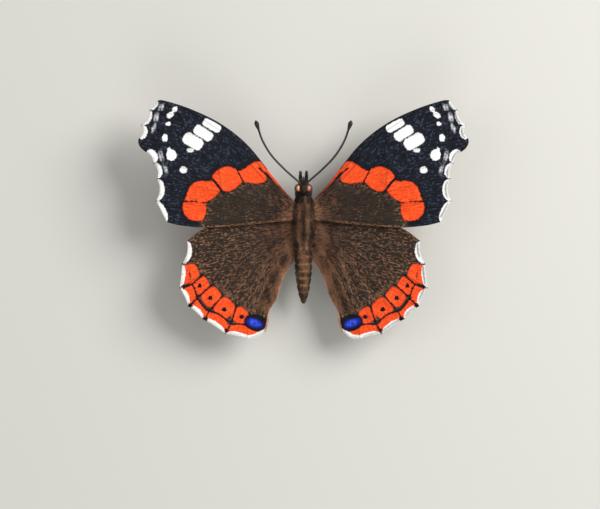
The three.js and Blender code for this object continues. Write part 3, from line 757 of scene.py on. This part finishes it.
# Tufts
def tufts(name, material, roots, along, up, length, width, lift, tone, uv, pale=None):
    """Solid three-sided hairs in one mesh. Each rises by lift, bends over and tapers to its tip.

    With pale given they are blunt scales instead, and pale is 1 for the white ones.
    """
    bend_at, bend_width = (0.5, 0.75) if pale is None else (0.85, 1.0)
    n = len(roots)
    along = unit(along)
    up = unit(up - along * (up * along).sum(1, keepdims=True))
    side = np.cross(up, along)
    length, width, lift = (np.broadcast_to(v, n)[:, None] for v in (length, width, lift))
    corners = [(1.0, 0.0), (-0.5, 0.6), (-0.5, -0.6)]
    middle = roots + along * length * bend_at + up * length * lift
    tip = roots + along * length + up * length * lift * 1.25
    rings = [roots + side * width * c + up * width * s for c, s in corners]
    rings += [middle + (side * width * c + up * width * s) * bend_width for c, s in corners]
    points = np.stack(rings + [tip], axis=1)
    quads = np.array([(0, 1, 4, 3), (1, 2, 5, 4), (2, 0, 3, 5)])
    tris = np.array([(2, 1, 0), (3, 4, 6), (4, 5, 6), (5, 3, 6)])
    each = 7  # points of a hair
    first = (np.arange(n) * each)[:, None, None]
    faces = (first + quads).reshape(-1, 4).tolist() + (first + tris).reshape(-1, 3).tolist()
    item = new_object(name, points.reshape(-1, 3), faces, material)
    store(item, "tone", np.repeat(np.clip(tone, 0, 1), each))
    store(item, "tip", np.tile([0, 0, 0, 0.5, 0.5, 0.5, 1.0], n))
    if pale is not None:
        store(item, "pale", np.repeat(pale, each))
    patch = np.array([(0, 0), (0.5, 0), (1, 0), (0, 0.5), (0.5, 0.5), (1, 0.5), (0.5, 1)]) * 0.003
    store_uv(item, (np.clip(uv, 0.002, 0.994)[:, None] + patch).reshape(-1, 2))


def patches(points, reach):
    """A smooth random value around 0 that holds over about the given distance."""
    waves = 12
    wave = np.random.default_rng(3).standard_normal((waves, 3)) / reach
    turn = np.arange(waves) * 1.7
    return np.sin(points @ wave.T + turn).sum(1) / 3.5


# Wings as objects. A hair's size is (length, width, lift as a share of the length).
FORE_HAIR, HIND_HAIR, EDGE_HAIR = (0.85, 0.028, 0.16), (0.95, 0.028, 0.15), (0.5, 0.026, 0.1)


def wing_uv(wing, plan):
    """Places on the map for points of the plan: the top fills its left half, the underside its right."""
    low, high = wing["plan"].min(0), wing["plan"].max(0)
    share = (plan - low) / (high - low)
    return np.column_stack([0.01 + share[:, 1] * 0.47, 0.01 + share[:, 0] * 0.98])


def add_wing(kind, hand, wing, marks, paints):
    side = HANDS[hand]
    plan = wing["plan"] * (side, 1)
    triangles = wing["triangles"][:, ::side]
    count = len(plan)
    points = np.vstack([np.column_stack([plan, wing[face]]) for face in ("top", "bottom")])
    edges = np.vstack([triangles[:, ends] for ends in ([0, 1], [1, 2], [2, 0])]).tolist()
    known = set(map(tuple, edges))
    rim = np.array([edge for edge in edges if (edge[1], edge[0]) not in known])
    wall = np.column_stack([rim[:, 0], rim[:, 0] + count, rim[:, 1] + count, rim[:, 1]])
    faces = triangles.tolist() + (triangles[:, ::-1] + count).tolist() + wall.tolist()
    item = new_object(f"{kind}_{hand}_sheet", points, faces, paints[0], [f"{kind}_{hand}"])
    item.data.materials.append(paints[1])
    under = np.r_[np.zeros(len(triangles)), np.ones(len(triangles)), np.zeros(len(wall))]
    item.data.polygons.foreach_set("material_index", under.astype(np.int32))
    for key, values in marks.items():
        store(item, key, np.concatenate([values, values]))
    uv = wing_uv(wing, wing["plan"])
    store_uv(item, np.vstack([uv, uv + (0.5, 0)]))


def add_fringe(kind, hand, wing, material):
    """Two rows of long scales along the outer margin, white in the scallops and dark at the vein ends."""
    line = resampled(wing["margin"], 0.03)
    inward = inward_of(line[:, :2], 13)
    line, inward = np.vstack([line, line]), np.vstack([inward, inward])
    n = len(line)
    in_white = smoothstep(line[:, 2], 0.05, 0.45)
    depth = (0.26 + 0.2 * in_white) * rng.uniform(0.85, 1.15, n)
    tip = line[:, :2] + inward * rng.uniform(0.0, 0.07, n)[:, None]
    root = tip + inward * depth[:, None] + turned(inward) * rng.uniform(-0.08, 0.08, n)[:, None]
    pale = line[:, 2] + rng.uniform(-0.06, 0.06, n) > 0.28
    if kind == "hindwing":
        pale &= to_spots(tip, [(x, y, 0.5, 0.5, 0) for x, y, *_ in MARGIN_DOTS]) > 0
    roots = np.column_stack([root, wing["level"](*root.T) + rng.uniform(-0.05, 0.06, n)])
    tips = np.column_stack([tip, wing["level"](*tip.T) + rng.uniform(-0.05, 0.05, n)])
    mirror = (HANDS[hand], 1, 1)
    tufts(
        f"{kind}_{hand}_fringe", material, roots * mirror, (tips - roots) * mirror, UP, depth, width=0.036,
        lift=0.02, tone=rng.random(n), uv=wing_uv(wing, root), pale=pale.astype(float),
    )


def add_wing_hair(name, hand, wing, plan, heading, material, tone, size):
    """Hairs rooted in the upper face at points of the plan and lying along the wing."""
    length, width, lift = size
    depth, ahead = 0.03, 0.1
    n = len(plan)

    def root_height(places):
        return wing["level"](*places.T) + MEMBRANE - depth

    z = root_height(plan)
    heading = unit(heading)
    heading = heading - turned(heading) * (0.22 * rng.standard_normal(n))[:, None]
    rise = (root_height(plan + heading * ahead) - z) / ahead
    mirror = (HANDS[hand], 1, 1)
    roots = np.column_stack([plan, z]) * mirror
    along = np.column_stack([heading, rise]) * mirror
    tone = tone + 0.2 * patches(roots, 0.4) + 0.26 * rng.standard_normal(n)
    lengths = length * rng.uniform(0.6, 1.2, n)
    uv = wing_uv(wing, plan)
    tufts(f"{name}_{hand}", material, roots, along, UP, lengths, width, lift, tone, uv)


def scattered(wing, weight, count):
    """Points on the wing's plan, as dense as the weight says."""
    low, high = wing["plan"].min(0), wing["plan"].max(0)
    plan = rng.uniform(low, high, (count * 20, 2))
    plan = plan[rng.random(len(plan)) < weight(plan)]
    return plan[inside(plan, wing["outline"])][:count]


def fore_hair_weight(plan):
    return smoothstep(from_root(plan, FORE_HAIR_ROOT), 8.5, 1.0) * (plan[:, 0] > 1.7)


def hind_hair_weight(plan):
    base = smoothstep(from_root(plan, HIND_HAIR_ROOT), 9, 1)
    beside = smoothstep(to_curve(plan, HIND_INNER), 3.2, 0.2) * smoothstep(plan[:, 1], -17.2, -15.0)
    return np.maximum(beside, base) * (plan[:, 0] > 1.5)


def hind_hair_tone(plan):
    inner = smoothstep(to_curve(plan, HIND_INNER), 0.9, 0.1)
    streak = np.exp(-((to_curves(plan, INNER_STREAKS) / 0.3) ** 2))
    root = smoothstep(from_root(plan, HIND_HAIR_ROOT), 5.5, 2.5)
    return 0.12 + 0.5 * inner + 0.3 * streak + 0.3 * root


def add_base_hair(hand, fore, hind, hair, edge_hair):
    """Hairs over the roots of the wings and along the inner edge of the hindwing."""
    plan = scattered(fore, fore_hair_weight, 3000)
    tone = 0.16 + 0.42 * smoothstep(from_root(plan, FORE_HAIR_ROOT), 5.0, 2.0)
    add_wing_hair("forewing_hair", hand, fore, plan, plan - (-1.0, 1.2), hair, tone, FORE_HAIR)
    plan = scattered(hind, hind_hair_weight, 5200)
    tone = hind_hair_tone(plan)
    add_wing_hair("hindwing_hair", hand, hind, plan, plan - (-1.0, -1.5), hair, tone, HIND_HAIR)
    edge = resampled(spline(HIND_INNER[2:], 0.2), 0.016)
    edge = edge[(edge[:, 1] < -6.2) & (edge[:, 0] > 1.2)]
    outward = -inward_of(edge, 9)
    plan = edge - outward * rng.uniform(0.02, 0.3, len(edge))[:, None]
    heading = outward * 0.6 - unit(np.gradient(edge, axis=0))
    tone = rng.uniform(0.0, 1.0, len(plan))
    add_wing_hair("hindwing_edge", hand, hind, plan, heading, edge_hair, tone, EDGE_HAIR)


def build_wings():
    fore, hind = fore_sheet(), hind_sheet()
    fringe_material = fringe_paint()
    hair = hair_paint("wing_hair", (36, 28, 24), (190, 134, 98), (170, 124, 92))
    edge_hair = hair_paint("edge_hair", (178, 114, 82), (250, 184, 142), (252, 196, 160))
    for kind, wing, marks in (("forewing", fore, fore_marks(fore)), ("hindwing", hind, hind_marks(hind))):
        absent = {mark: np.full(len(wing["plan"]), FAR) for mark in ("blue", "navy", "speck")}
        marks = {**absent, **marks, "vein": wing["vein"]}
        paints = [wing_top(f"{kind}_top_scales"), wing_under(f"{kind}_under_scales", kind == "hindwing")]
        for hand in HANDS:
            add_wing(kind, hand, wing, marks, paints)
            add_fringe(kind, hand, wing, fringe_material)
    for hand in HANDS:
        add_base_hair(hand, fore, hind, hair, edge_hair)


build_wings()

# Body: one skin from the tip of the abdomen to the face, as (y, half width, half height, middle height)
BODY = [
    (-15.3, 0.05, 0.05, 5.02), (-15.1, 0.32, 0.33, 5.05), (-14.4, 0.62, 0.64, 5.1), (-13.2, 0.93, 0.96, 5.2),
    (-12.0, 1.15, 1.18, 5.3), (-10.0, 1.43, 1.46, 5.47), (-8.0, 1.56, 1.6, 5.64), (-6.2, 1.52, 1.56, 5.79),
    (-5.1, 1.34, 1.4, 5.9), (-4.6, 1.24, 1.36, 6.0), (-4.0, 1.36, 1.5, 6.12), (-2.8, 1.64, 1.8, 6.2),
    (-1.0, 1.82, 2.02, 6.2), (1.0, 1.84, 2.05, 6.2), (2.7, 1.66, 1.84, 6.2), (3.7, 1.34, 1.5, 6.22),
    (4.4, 1.04, 1.2, 6.3), (4.95, 0.8, 0.95, 6.4), (5.3, 0.78, 1.0, 6.5), (5.8, 0.72, 1.12, 6.55),
    (6.3, 0.74, 1.1, 6.55), (6.7, 0.78, 0.95, 6.5), (6.95, 0.6, 0.7, 6.45), (7.08, 0.05, 0.1, 6.42),
]
BODY_LOW, BODY_HIGH = BODY[0][0], BODY[-1][0]
BODY_CURVE = spline(BODY, 0.05)
WAIST, SEGMENT = -5.2, 1.32  # where the abdomen's rings start, and the length of one
EYE_CENTRE, EYE_HALF = (1.1, 5.98, 6.7), (0.6, 0.78, 0.88)

# Coats, as (count, stretch of the body, length, width)
THORAX_FUR = (11000, (-5.0, 4.8), 0.85, 0.042)
HEAD_FUR = (4200, (4.9, 6.95), 0.36, 0.026)
ABDOMEN_FUR = (9500, (-15.2, -4.9), 0.42, 0.038)


def ring_edge(y, sharpness):
    """1 at the joints between the abdomen's rings, 0 between them and on the rest of the body."""
    return np.where(y < WAIST, np.abs(np.cos((y - WAIST) / SEGMENT * math.pi)) ** sharpness, 0)


def body_section(y):
    half_width, half_height, middle = (np.interp(y, BODY_CURVE[:, 0], BODY_CURVE[:, k]) for k in (1, 2, 3))
    groove = 1 - 0.07 * ring_edge(y, 6)
    return np.maximum(half_width, 0.02) * groove, np.maximum(half_height, 0.02) * groove, middle


def body_point(y, angle):
    """The skin at a place along the body and an angle from straight up."""
    half_width, half_height, middle = body_section(y)
    return np.stack([half_width * np.sin(angle), y, middle + half_height * np.cos(angle)], axis=-1)


def body_normal(y, angle):
    forward = body_point(y + 0.02, angle) - body_point(y - 0.02, angle)
    around = body_point(y, angle + 0.02) - body_point(y, angle - 0.02)
    return unit(np.cross(around, forward)), unit(forward)


def body_uv(y, angle):
    around = (angle / (2 * math.pi) + 0.5) % 1.0
    return np.stack([around, (y - BODY_LOW) / (BODY_HIGH - BODY_LOW)], axis=-1) * 0.99 + 0.005


def crossed(first, second):
    """Every pair from two rows of values, the second running faster."""
    return (grid.ravel() for grid in np.meshgrid(first, second, indexing="ij"))


def body_skin():
    sides, rings = 72, 260
    turn = np.linspace(-math.pi, math.pi, sides, endpoint=False)
    y, angle = crossed(np.linspace(BODY_LOW, BODY_HIGH, rings), turn)
    faces = [face[::-1] for face in grid_faces(rings, sides)]
    nodes = ["head", "thorax", "abdomen"]
    item = new_object("body_skin", body_point(y, angle), faces, skin_paint(), nodes)
    store(item, "ring", ring_edge(y, 10))
    store_uv(item, body_uv(y, angle))


def body_hair(name, material, y, angle, along, up, length, width, lift, tone):
    """Hairs rooted just under the skin, from places along the body and angles from straight up."""
    roots = body_point(y, angle) - body_normal(y, angle)[0] * 0.03
    tufts(name, material, roots, along, up, length, width, lift, tone, body_uv(y, angle))


def body_coat(name, material, coat, tone_at, lift_at):
    """Hairs over a stretch of the body, lying back along it."""
    count, stretch, length, width = coat
    y = rng.uniform(*stretch, count * 2)
    half_width, half_height, _ = body_section(y)
    y = y[rng.random(len(y)) < (half_width + half_height) / 4.0]
    angle = rng.uniform(-math.pi, math.pi, len(y))
    clear = clear_of_eyes(body_point(y, angle))
    y, angle = y[clear], angle[clear]
    n = len(y)
    normal, forward = body_normal(y, angle)
    sideways = np.cross(normal, forward)
    along = -forward + sideways * (0.3 * rng.standard_normal(n))[:, None] + normal * 0.12
    noise = 0.22 * patches(body_point(y, angle), 0.3)
    tone = tone_at(y, angle) + noise + 0.3 * rng.standard_normal(n)
    lengths = length * rng.uniform(0.7, 1.15, n)
    body_hair(name, material, y, angle, along, normal, lengths, width, lift_at(y, angle), tone)


def thorax_tone(y, angle):
    """Tan streaks either side of the midline, dark flanks and a paler breast."""
    around = np.abs(angle)
    streak = np.exp(-(((around - 0.42) / 0.24) ** 2)) * smoothstep(y, 4.4, 2.6)
    return -0.06 + 0.62 * streak + 0.5 * smoothstep(around, 1.7, 2.4) + 0.2 * smoothstep(y, -2, -4.5)


def thorax_lift(y, angle):
    return 0.13 + 0.2 * smoothstep(np.abs(angle), 0.6, 1.1)


def abdomen_tone(y, angle):
    """Tan rings that fade on the dark flanks and to the tip, and a paler belly."""
    around = np.abs(angle)
    back = smoothstep(around, 1.0, 0.45) * smoothstep(y, -14.0, -12.0)
    return -0.12 + (0.45 + 0.55 * ring_edge(y, 5)) * back + 0.5 * smoothstep(around, 1.7, 2.4)


def clear_of_eyes(roots):
    """True for the roots that aren't beside an eye, so that the fur leaves its upper side open."""
    beside = (np.abs(roots) * (1, 0, 0) + roots * (0, 1, 1) - EYE_CENTRE) / EYE_HALF
    return np.linalg.norm(beside, axis=1) > 1.2


def face_fur(material):
    """Black bristles on the brow, forwards between the feelers, and in the hollow behind the eyes."""
    count = 1100
    y, angle = rng.uniform(6.3, 7.0, count), rng.uniform(-1.7, 1.7, count)
    normal, forward = body_normal(y, angle)
    along = forward * 0.5 + normal * 0.4 + (0, 1.1, 0) + 0.16 * rng.standard_normal((count, 3))
    lengths, tone = rng.uniform(0.45, 0.85, count), rng.random(count)
    body_hair("face_fur", material, y, angle, along, normal, lengths, 0.03, 0.05, tone)
    y, angle = rng.uniform(4.5, 5.3, count), rng.uniform(-2.4, 2.4, count)
    normal, forward = body_normal(y, angle)
    along = normal + forward * (0.7 * (y - 4.8))[:, None] + 0.2 * rng.standard_normal((count, 3))
    lengths, tone = rng.uniform(0.3, 0.62, count), rng.random(count)
    body_hair("neck_fur", material, y, angle, along, forward, lengths, 0.034, 0.02, tone)


def build_body():
    body_skin()
    fur = hair_paint("body_hair", (28, 22, 19), (184, 132, 94), (176, 130, 94))
    body_coat("thorax_fur", fur, THORAX_FUR, thorax_tone, thorax_lift)
    body_coat("head_fur", fur, HEAD_FUR, lambda y, angle: 0.1, lambda y, angle: 0.2)
    body_coat("abdomen_fur", fur, ABDOMEN_FUR, abdomen_tone, lambda y, angle: 0.1)
    face_fur(hair_paint("brow_hair", (16, 16, 18), (52, 42, 36), (44, 38, 34)))


build_body()

# Feelers, palps, tongue and legs
FEELER_RINGS = 2.6  # per millimetre
FEELER = [
    (0.45, 6.5, 7.1), (1.05, 7.3, 7.6), (3.33, 9.3, 8.35), (5.83, 11.9, 9.1), (7.5, 14.6, 9.8),
    (8.4, 17.1, 10.35), (8.85, 18.5, 10.63),
]
PALP = [(0.42, 6.5, 6.05), (0.5, 7.3, 6.0), (0.56, 8.3, 6.2), (0.56, 9.05, 6.48)]
BRUSH_LEG = [(1.0, 3.6, 4.9), (1.2, 4.7, 4.1), (1.3, 5.4, 3.65), (1.25, 4.6, 3.1), (1.12, 3.35, 2.58)]
WALKING_LEGS = {  # hip, bend, knee, ankle and toe
    "leg_mid": [(1.0, 1.25, 4.4), (1.35, 1.4, 3.45), (5.2, 2.8, 5.2), (8.2, 3.6, 0.8), (11.8, 4.87, 0.2)],
    "leg_hind": [
        (1.0, -1.7, 4.4), (1.3, -1.9, 3.45), (4.7, -3.7, 4.7), (7.4, -6.2, 0.8), (10.3, -9.0, 0.2),
    ],
}

# A joint's radius, as (first end, last end, swelling between them, where along it)
HIP, THIGH, SHIN = (0.42, 0.3, 0.05, 0.4), (0.24, 0.15, 0.13, 0.35), (0.14, 0.12, 0.05, 0.4)
FOOT, BRUSH = (0.1, 0.13, 0.012, 0.7), (0.2, 0.12, 0.07, 0.4)
CLAW_RADIUS, SPUR_RADIUS = 0.05, 0.045
FOOT_LEVEL, CLAW_LEVEL = 0.14, 0.06  # lowest height of their middle lines

# Limb hair, as (count, length, width, lean outwards, tone)
THIGH_HAIR, SHIN_SPINES = (220, 0.3, 0.02, 0.3, 0.35), (70, 0.22, 0.02, 0.6, 0.1)
PALP_HAIR, BRUSH_HAIR = (900, 0.34, 0.026, 0.45, 0.04), (600, 0.42, 0.022, 0.45, 0.45)


def tube_frame(line, spacing):
    """Centre points, directions and two cross directions along a smooth line."""
    centre = spline(line, spacing)
    tangent = unit(np.gradient(centre, axis=0))
    normal = np.empty_like(centre)
    start = np.array([0, 0, 1.0]) if abs(tangent[0][2]) < 0.9 else np.array([0, 1.0, 0])
    for i, t in enumerate(tangent):
        start = unit(start - t * (start @ t))
        normal[i] = start
    return centre, tangent, normal, np.cross(tangent, normal)


def tube(name, line, radius_at, material, sides=14, spacing=0.08, replaced=()):
    """A closed tube of changing radius along a smooth line."""
    centre, _, normal, side = tube_frame(line, spacing)
    run = run_along(centre)
    angle = np.linspace(0, 2 * math.pi, sides, endpoint=False)[None, :, None]
    ring = normal[:, None] * np.cos(angle) + side[:, None] * np.sin(angle)
    points = centre[:, None] + ring * radius_at(run / run[-1], run[-1])[:, None, None]
    item = new_object(name, points.reshape(-1, 3), grid_faces(len(centre), sides), material, replaced)
    store(item, "run", np.repeat(run, sides))
    store(item, "share", np.repeat(run / run[-1], sides))


def tube_hair(name, line, radius_at, material, coat):
    """Hairs all round a tube, leaning towards its end."""
    count, length, width, out, tone = coat
    centre, tangent, normal, side = tube_frame(line, 0.05)
    share = rng.uniform(0, 1, count)
    pick = (share * (len(centre) - 1)).astype(int)
    angle = rng.uniform(0, 2 * math.pi, count)
    outward = normal[pick] * np.cos(angle)[:, None] + side[pick] * np.sin(angle)[:, None]
    roots = centre[pick] + outward * (radius_at(share, run_along(centre)[-1]) - 0.02)[:, None]
    along = tangent[pick] + outward * out + 0.15 * rng.standard_normal((count, 3))
    uv = np.stack([angle / (2 * math.pi), share], axis=1)
    tones = tone + 0.15 * rng.standard_normal(count)
    lengths = length * rng.uniform(0.6, 1.15, count)
    tufts(name, material, roots, along, outward, lengths, width, 0.05, tones, uv)


def feeler_radius(share, length):
    club = smoothstep(share, 0.86, 0.95)
    tip = smoothstep(share, 0.95, 1.0)
    ripple = 0.012 * np.abs(np.sin(share * length * FEELER_RINGS * math.pi))
    return 0.19 + ripple + 0.23 * club - 0.34 * tip * np.sqrt(tip)


def palp_radius(share, _):
    return 0.27 - 0.17 * smoothstep(share, 0.45, 1) + 0.02 * np.sin(share * 9)


def segment(low, high, bulge, swell_at):
    """Radius along one joint of a leg: swollen once, narrow at both ends."""
    power = math.log(0.5) / math.log(swell_at)
    return lambda share, _: low + (high - low) * share + bulge * np.sin(math.pi * share**power)


def spike(low):
    """Radius of a claw or spur that runs to a point."""
    return lambda share, _: low * (1 - 0.75 * share)


def between(a, b, share, rise=0.0):
    return a * (1 - share) + b * share + (0, 0, rise)


def held_up(line, low):
    """The line with nothing lower than the given height."""
    return np.maximum(line, (-np.inf, -np.inf, low))


def walking_leg(name, kind, hand, scales, claw_horn, hair):
    """Hip, thigh and shin, a foot of five joints on the floor, two claws and two spurs."""
    hip, bend, knee, ankle, toe = (np.array(p) * (HANDS[hand], 1, 1) for p in WALKING_LEGS[kind])
    heel = between(ankle, toe, 0.14)
    heel[2] = 0.3
    thigh = [bend, between(bend, knee, 0.5, 0.1), knee]
    shin = [knee, between(knee, ankle, 0.5, 0.08), ankle]
    thigh_radius, shin_radius = segment(*THIGH), segment(*SHIN)
    joint = [hip, between(hip, bend, 0.6), bend]
    tube(f"{name}_hip", joint, segment(*HIP), scales, replaced=[name])
    tube(f"{name}_thigh", thigh, thigh_radius, scales)
    tube(f"{name}_shin", shin, shin_radius, scales)
    tube_hair(f"{name}_thigh_hair", thigh, thigh_radius, hair, THIGH_HAIR)
    tube_hair(f"{name}_shin_spines", shin, shin_radius, hair, SHIN_SPINES)
    whole = spline(np.vstack([ankle, heel, between(heel, toe, 0.25, -0.06), toe]), 0.05)
    joints = [round(share * (len(whole) - 1)) for share in (0.0, 0.38, 0.55, 0.69, 0.82, 1.0)]
    for k, (first, last) in enumerate(zip(joints, joints[1:])):
        piece = held_up(whole[first : last + 1], FOOT_LEVEL)
        line = piece[:: max(1, len(piece) // 6)]
        tube(f"{name}_foot_{k + 1}", line, segment(*FOOT), scales, 12)
    ahead, down = unit(toe - heel), unit(ankle - knee)
    across = np.array([-ahead[1], ahead[0], 0])
    for k, spread in enumerate((across, -across)):
        root = toe - ahead * 0.12
        crook = root + ahead * 0.14 + spread * 0.09 + (0, 0, 0.04)
        point = root + ahead * 0.24 + spread * 0.14 - (0, 0, 0.12)
        claw = held_up([root, crook, point], CLAW_LEVEL)
        tube(f"{name}_claw_{k + 1}", claw, spike(CLAW_RADIUS), claw_horn, 8, 0.04)
        root = between(knee, ankle, 0.96)
        spur = [root, root + down * 0.25 + spread * 0.22, root + down * 0.42 + spread * 0.3]
        tube(f"{name}_spur_{k + 1}", spur, spike(SPUR_RADIUS), scales, 8, 0.05)


def eyeball(hand, material):
    rings, sides = 40, 56
    rise, turn = crossed(
        np.linspace(-0.5, 0.5, rings) * math.pi, np.linspace(0, 2 * math.pi, sides, endpoint=False)
    )
    ball = np.column_stack([np.sin(rise), np.cos(rise) * np.cos(turn), np.cos(rise) * np.sin(turn)])
    faces = [face[:: -HANDS[hand]] for face in grid_faces(rings, sides)]
    points = (ball * EYE_HALF + EYE_CENTRE) * (HANDS[hand], 1, 1)
    item = new_object(f"eyeball_{hand}", points, faces, material, [f"eye_{hand}"])
    # Share of the painted peach highlight: strongest on the upper, inner side of each eye
    store(item, "painted_highlight", smoothstep(ball[:, 2] - 1.1 * ball[:, 0] - 0.5 * ball[:, 1] ** 2, 0.45, 1.0))


def add_tongue(material):
    """From under the face into a coil that narrows turn by turn."""
    turns, widest, narrowing, middle = 1.45, 1.3, 0.94, (7.0, 4.05)
    coil = [(0, 5.9, 5.65)]
    for share in np.linspace(0, 1, 24):
        turn, reach = -0.7 + 2 * math.pi * turns * share, widest - narrowing * share
        coil.append((0, middle[0] + reach * math.sin(turn), middle[1] + reach * math.cos(turn)))
    tube("tongue", coil, lambda share, _: 0.15 - 0.05 * share, material, 14, 0.06, ["proboscis"])


def build_limbs():
    scales = horn_paint("leg_scales", (36, 28, 23), (104, 78, 56))[0].material
    claw_horn = horn_paint("tongue_horn", (34, 22, 14), (84, 54, 32))[0].material
    feeler_material, eye_material = feeler_paint(), eye_paint()
    hair = hair_paint("limb_hair", (18, 16, 17), (110, 84, 62), (52, 44, 38))
    brush_radius = segment(*BRUSH)
    for hand, side in HANDS.items():
        feeler, palp, brush = (np.array(line) * (side, 1, 1) for line in (FEELER, PALP, BRUSH_LEG))
        tube(f"feeler_{hand}", feeler, feeler_radius, feeler_material, 18, 0.05, [f"antenna_{hand}"])
        tube(f"palp_{hand}_joint", palp, palp_radius, scales, 16, 0.06, [f"palp_{hand}"])
        tube_hair(f"palp_{hand}_hair", palp, palp_radius, hair, PALP_HAIR)
        tube(f"brush_leg_{hand}", brush, brush_radius, scales, 14, 0.06, [f"leg_fore_{hand}"])
        tube_hair(f"brush_leg_{hand}_hair", brush, brush_radius, hair, BRUSH_HAIR)
        for kind in WALKING_LEGS:
            walking_leg(f"{kind}_{hand}", kind, hand, scales, claw_horn, hair)
        eyeball(hand, eye_material)
    add_tongue(claw_horn)


build_limbs()


# Stage, light and camera
def add_light(name, place, size, power):
    lamp = bpy.data.lights.new(name, "AREA")
    lamp.size, lamp.energy = size, power
    item = bpy.data.objects.new(name, lamp)
    item.location = place
    item.rotation_euler = (Vector((0, 0, 0.005)) - item.location).to_track_quat("-Z", "Y").to_euler()
    bpy.context.scene.collection.objects.link(item)


floor_mesh = bpy.data.meshes.new("floor")
floor_mesh.from_pydata([(-1, -1, 0), (1, -1, 0), (1, 1, 0), (-1, 1, 0)], [], [(0, 1, 2, 3)])
floor = bpy.data.objects.new("floor", floor_mesh)
bpy.context.scene.collection.objects.link(floor)
floor_paint = Paint("floor_paper", roughness=0.95, Specular_IOR_Level=0.1)
floor_paint.shader.inputs["Base Color"].default_value = linear(206, 204, 196)
floor_mesh.materials.append(floor_paint.material)

add_light("key", (0.38, 0.22, 0.36), size=0.34, power=3.9)
add_light("fill", (-0.42, 0.08, 0.45), size=0.4, power=0.5)
add_light("back", (0.05, -0.5, 0.35), size=0.4, power=0.9)
world = bpy.data.worlds.new("studio")
world.use_nodes = True
world.node_tree.nodes["Background"].inputs["Color"].default_value = (0.94, 0.96, 1, 1)
world.node_tree.nodes["Background"].inputs["Strength"].default_value = 0.35
bpy.context.scene.world = world
bpy.context.scene.view_settings.view_transform = "Standard"

PIXEL = 0.000185  # of the photograph, on the butterfly, m
PHOTO_WIDTH = 600  # pixels
PHOTO_MIDDLE = (-3.5, -34.2)  # pixels, from the frame's origin
WING_LEVEL = 0.008  # height at which the scale holds
camera_data = bpy.data.cameras.new("camera")
camera_data.lens = 200
camera_data.sensor_width = 36
camera_data.clip_start = 0.01
camera = bpy.data.objects.new("camera", camera_data)
distance = PHOTO_WIDTH * PIXEL * camera_data.lens / camera_data.sensor_width
camera.location = (PHOTO_MIDDLE[0] * PIXEL, PHOTO_MIDDLE[1] * PIXEL, distance + WING_LEVEL)
bpy.context.scene.collection.objects.link(camera)
bpy.context.scene.camera = camera
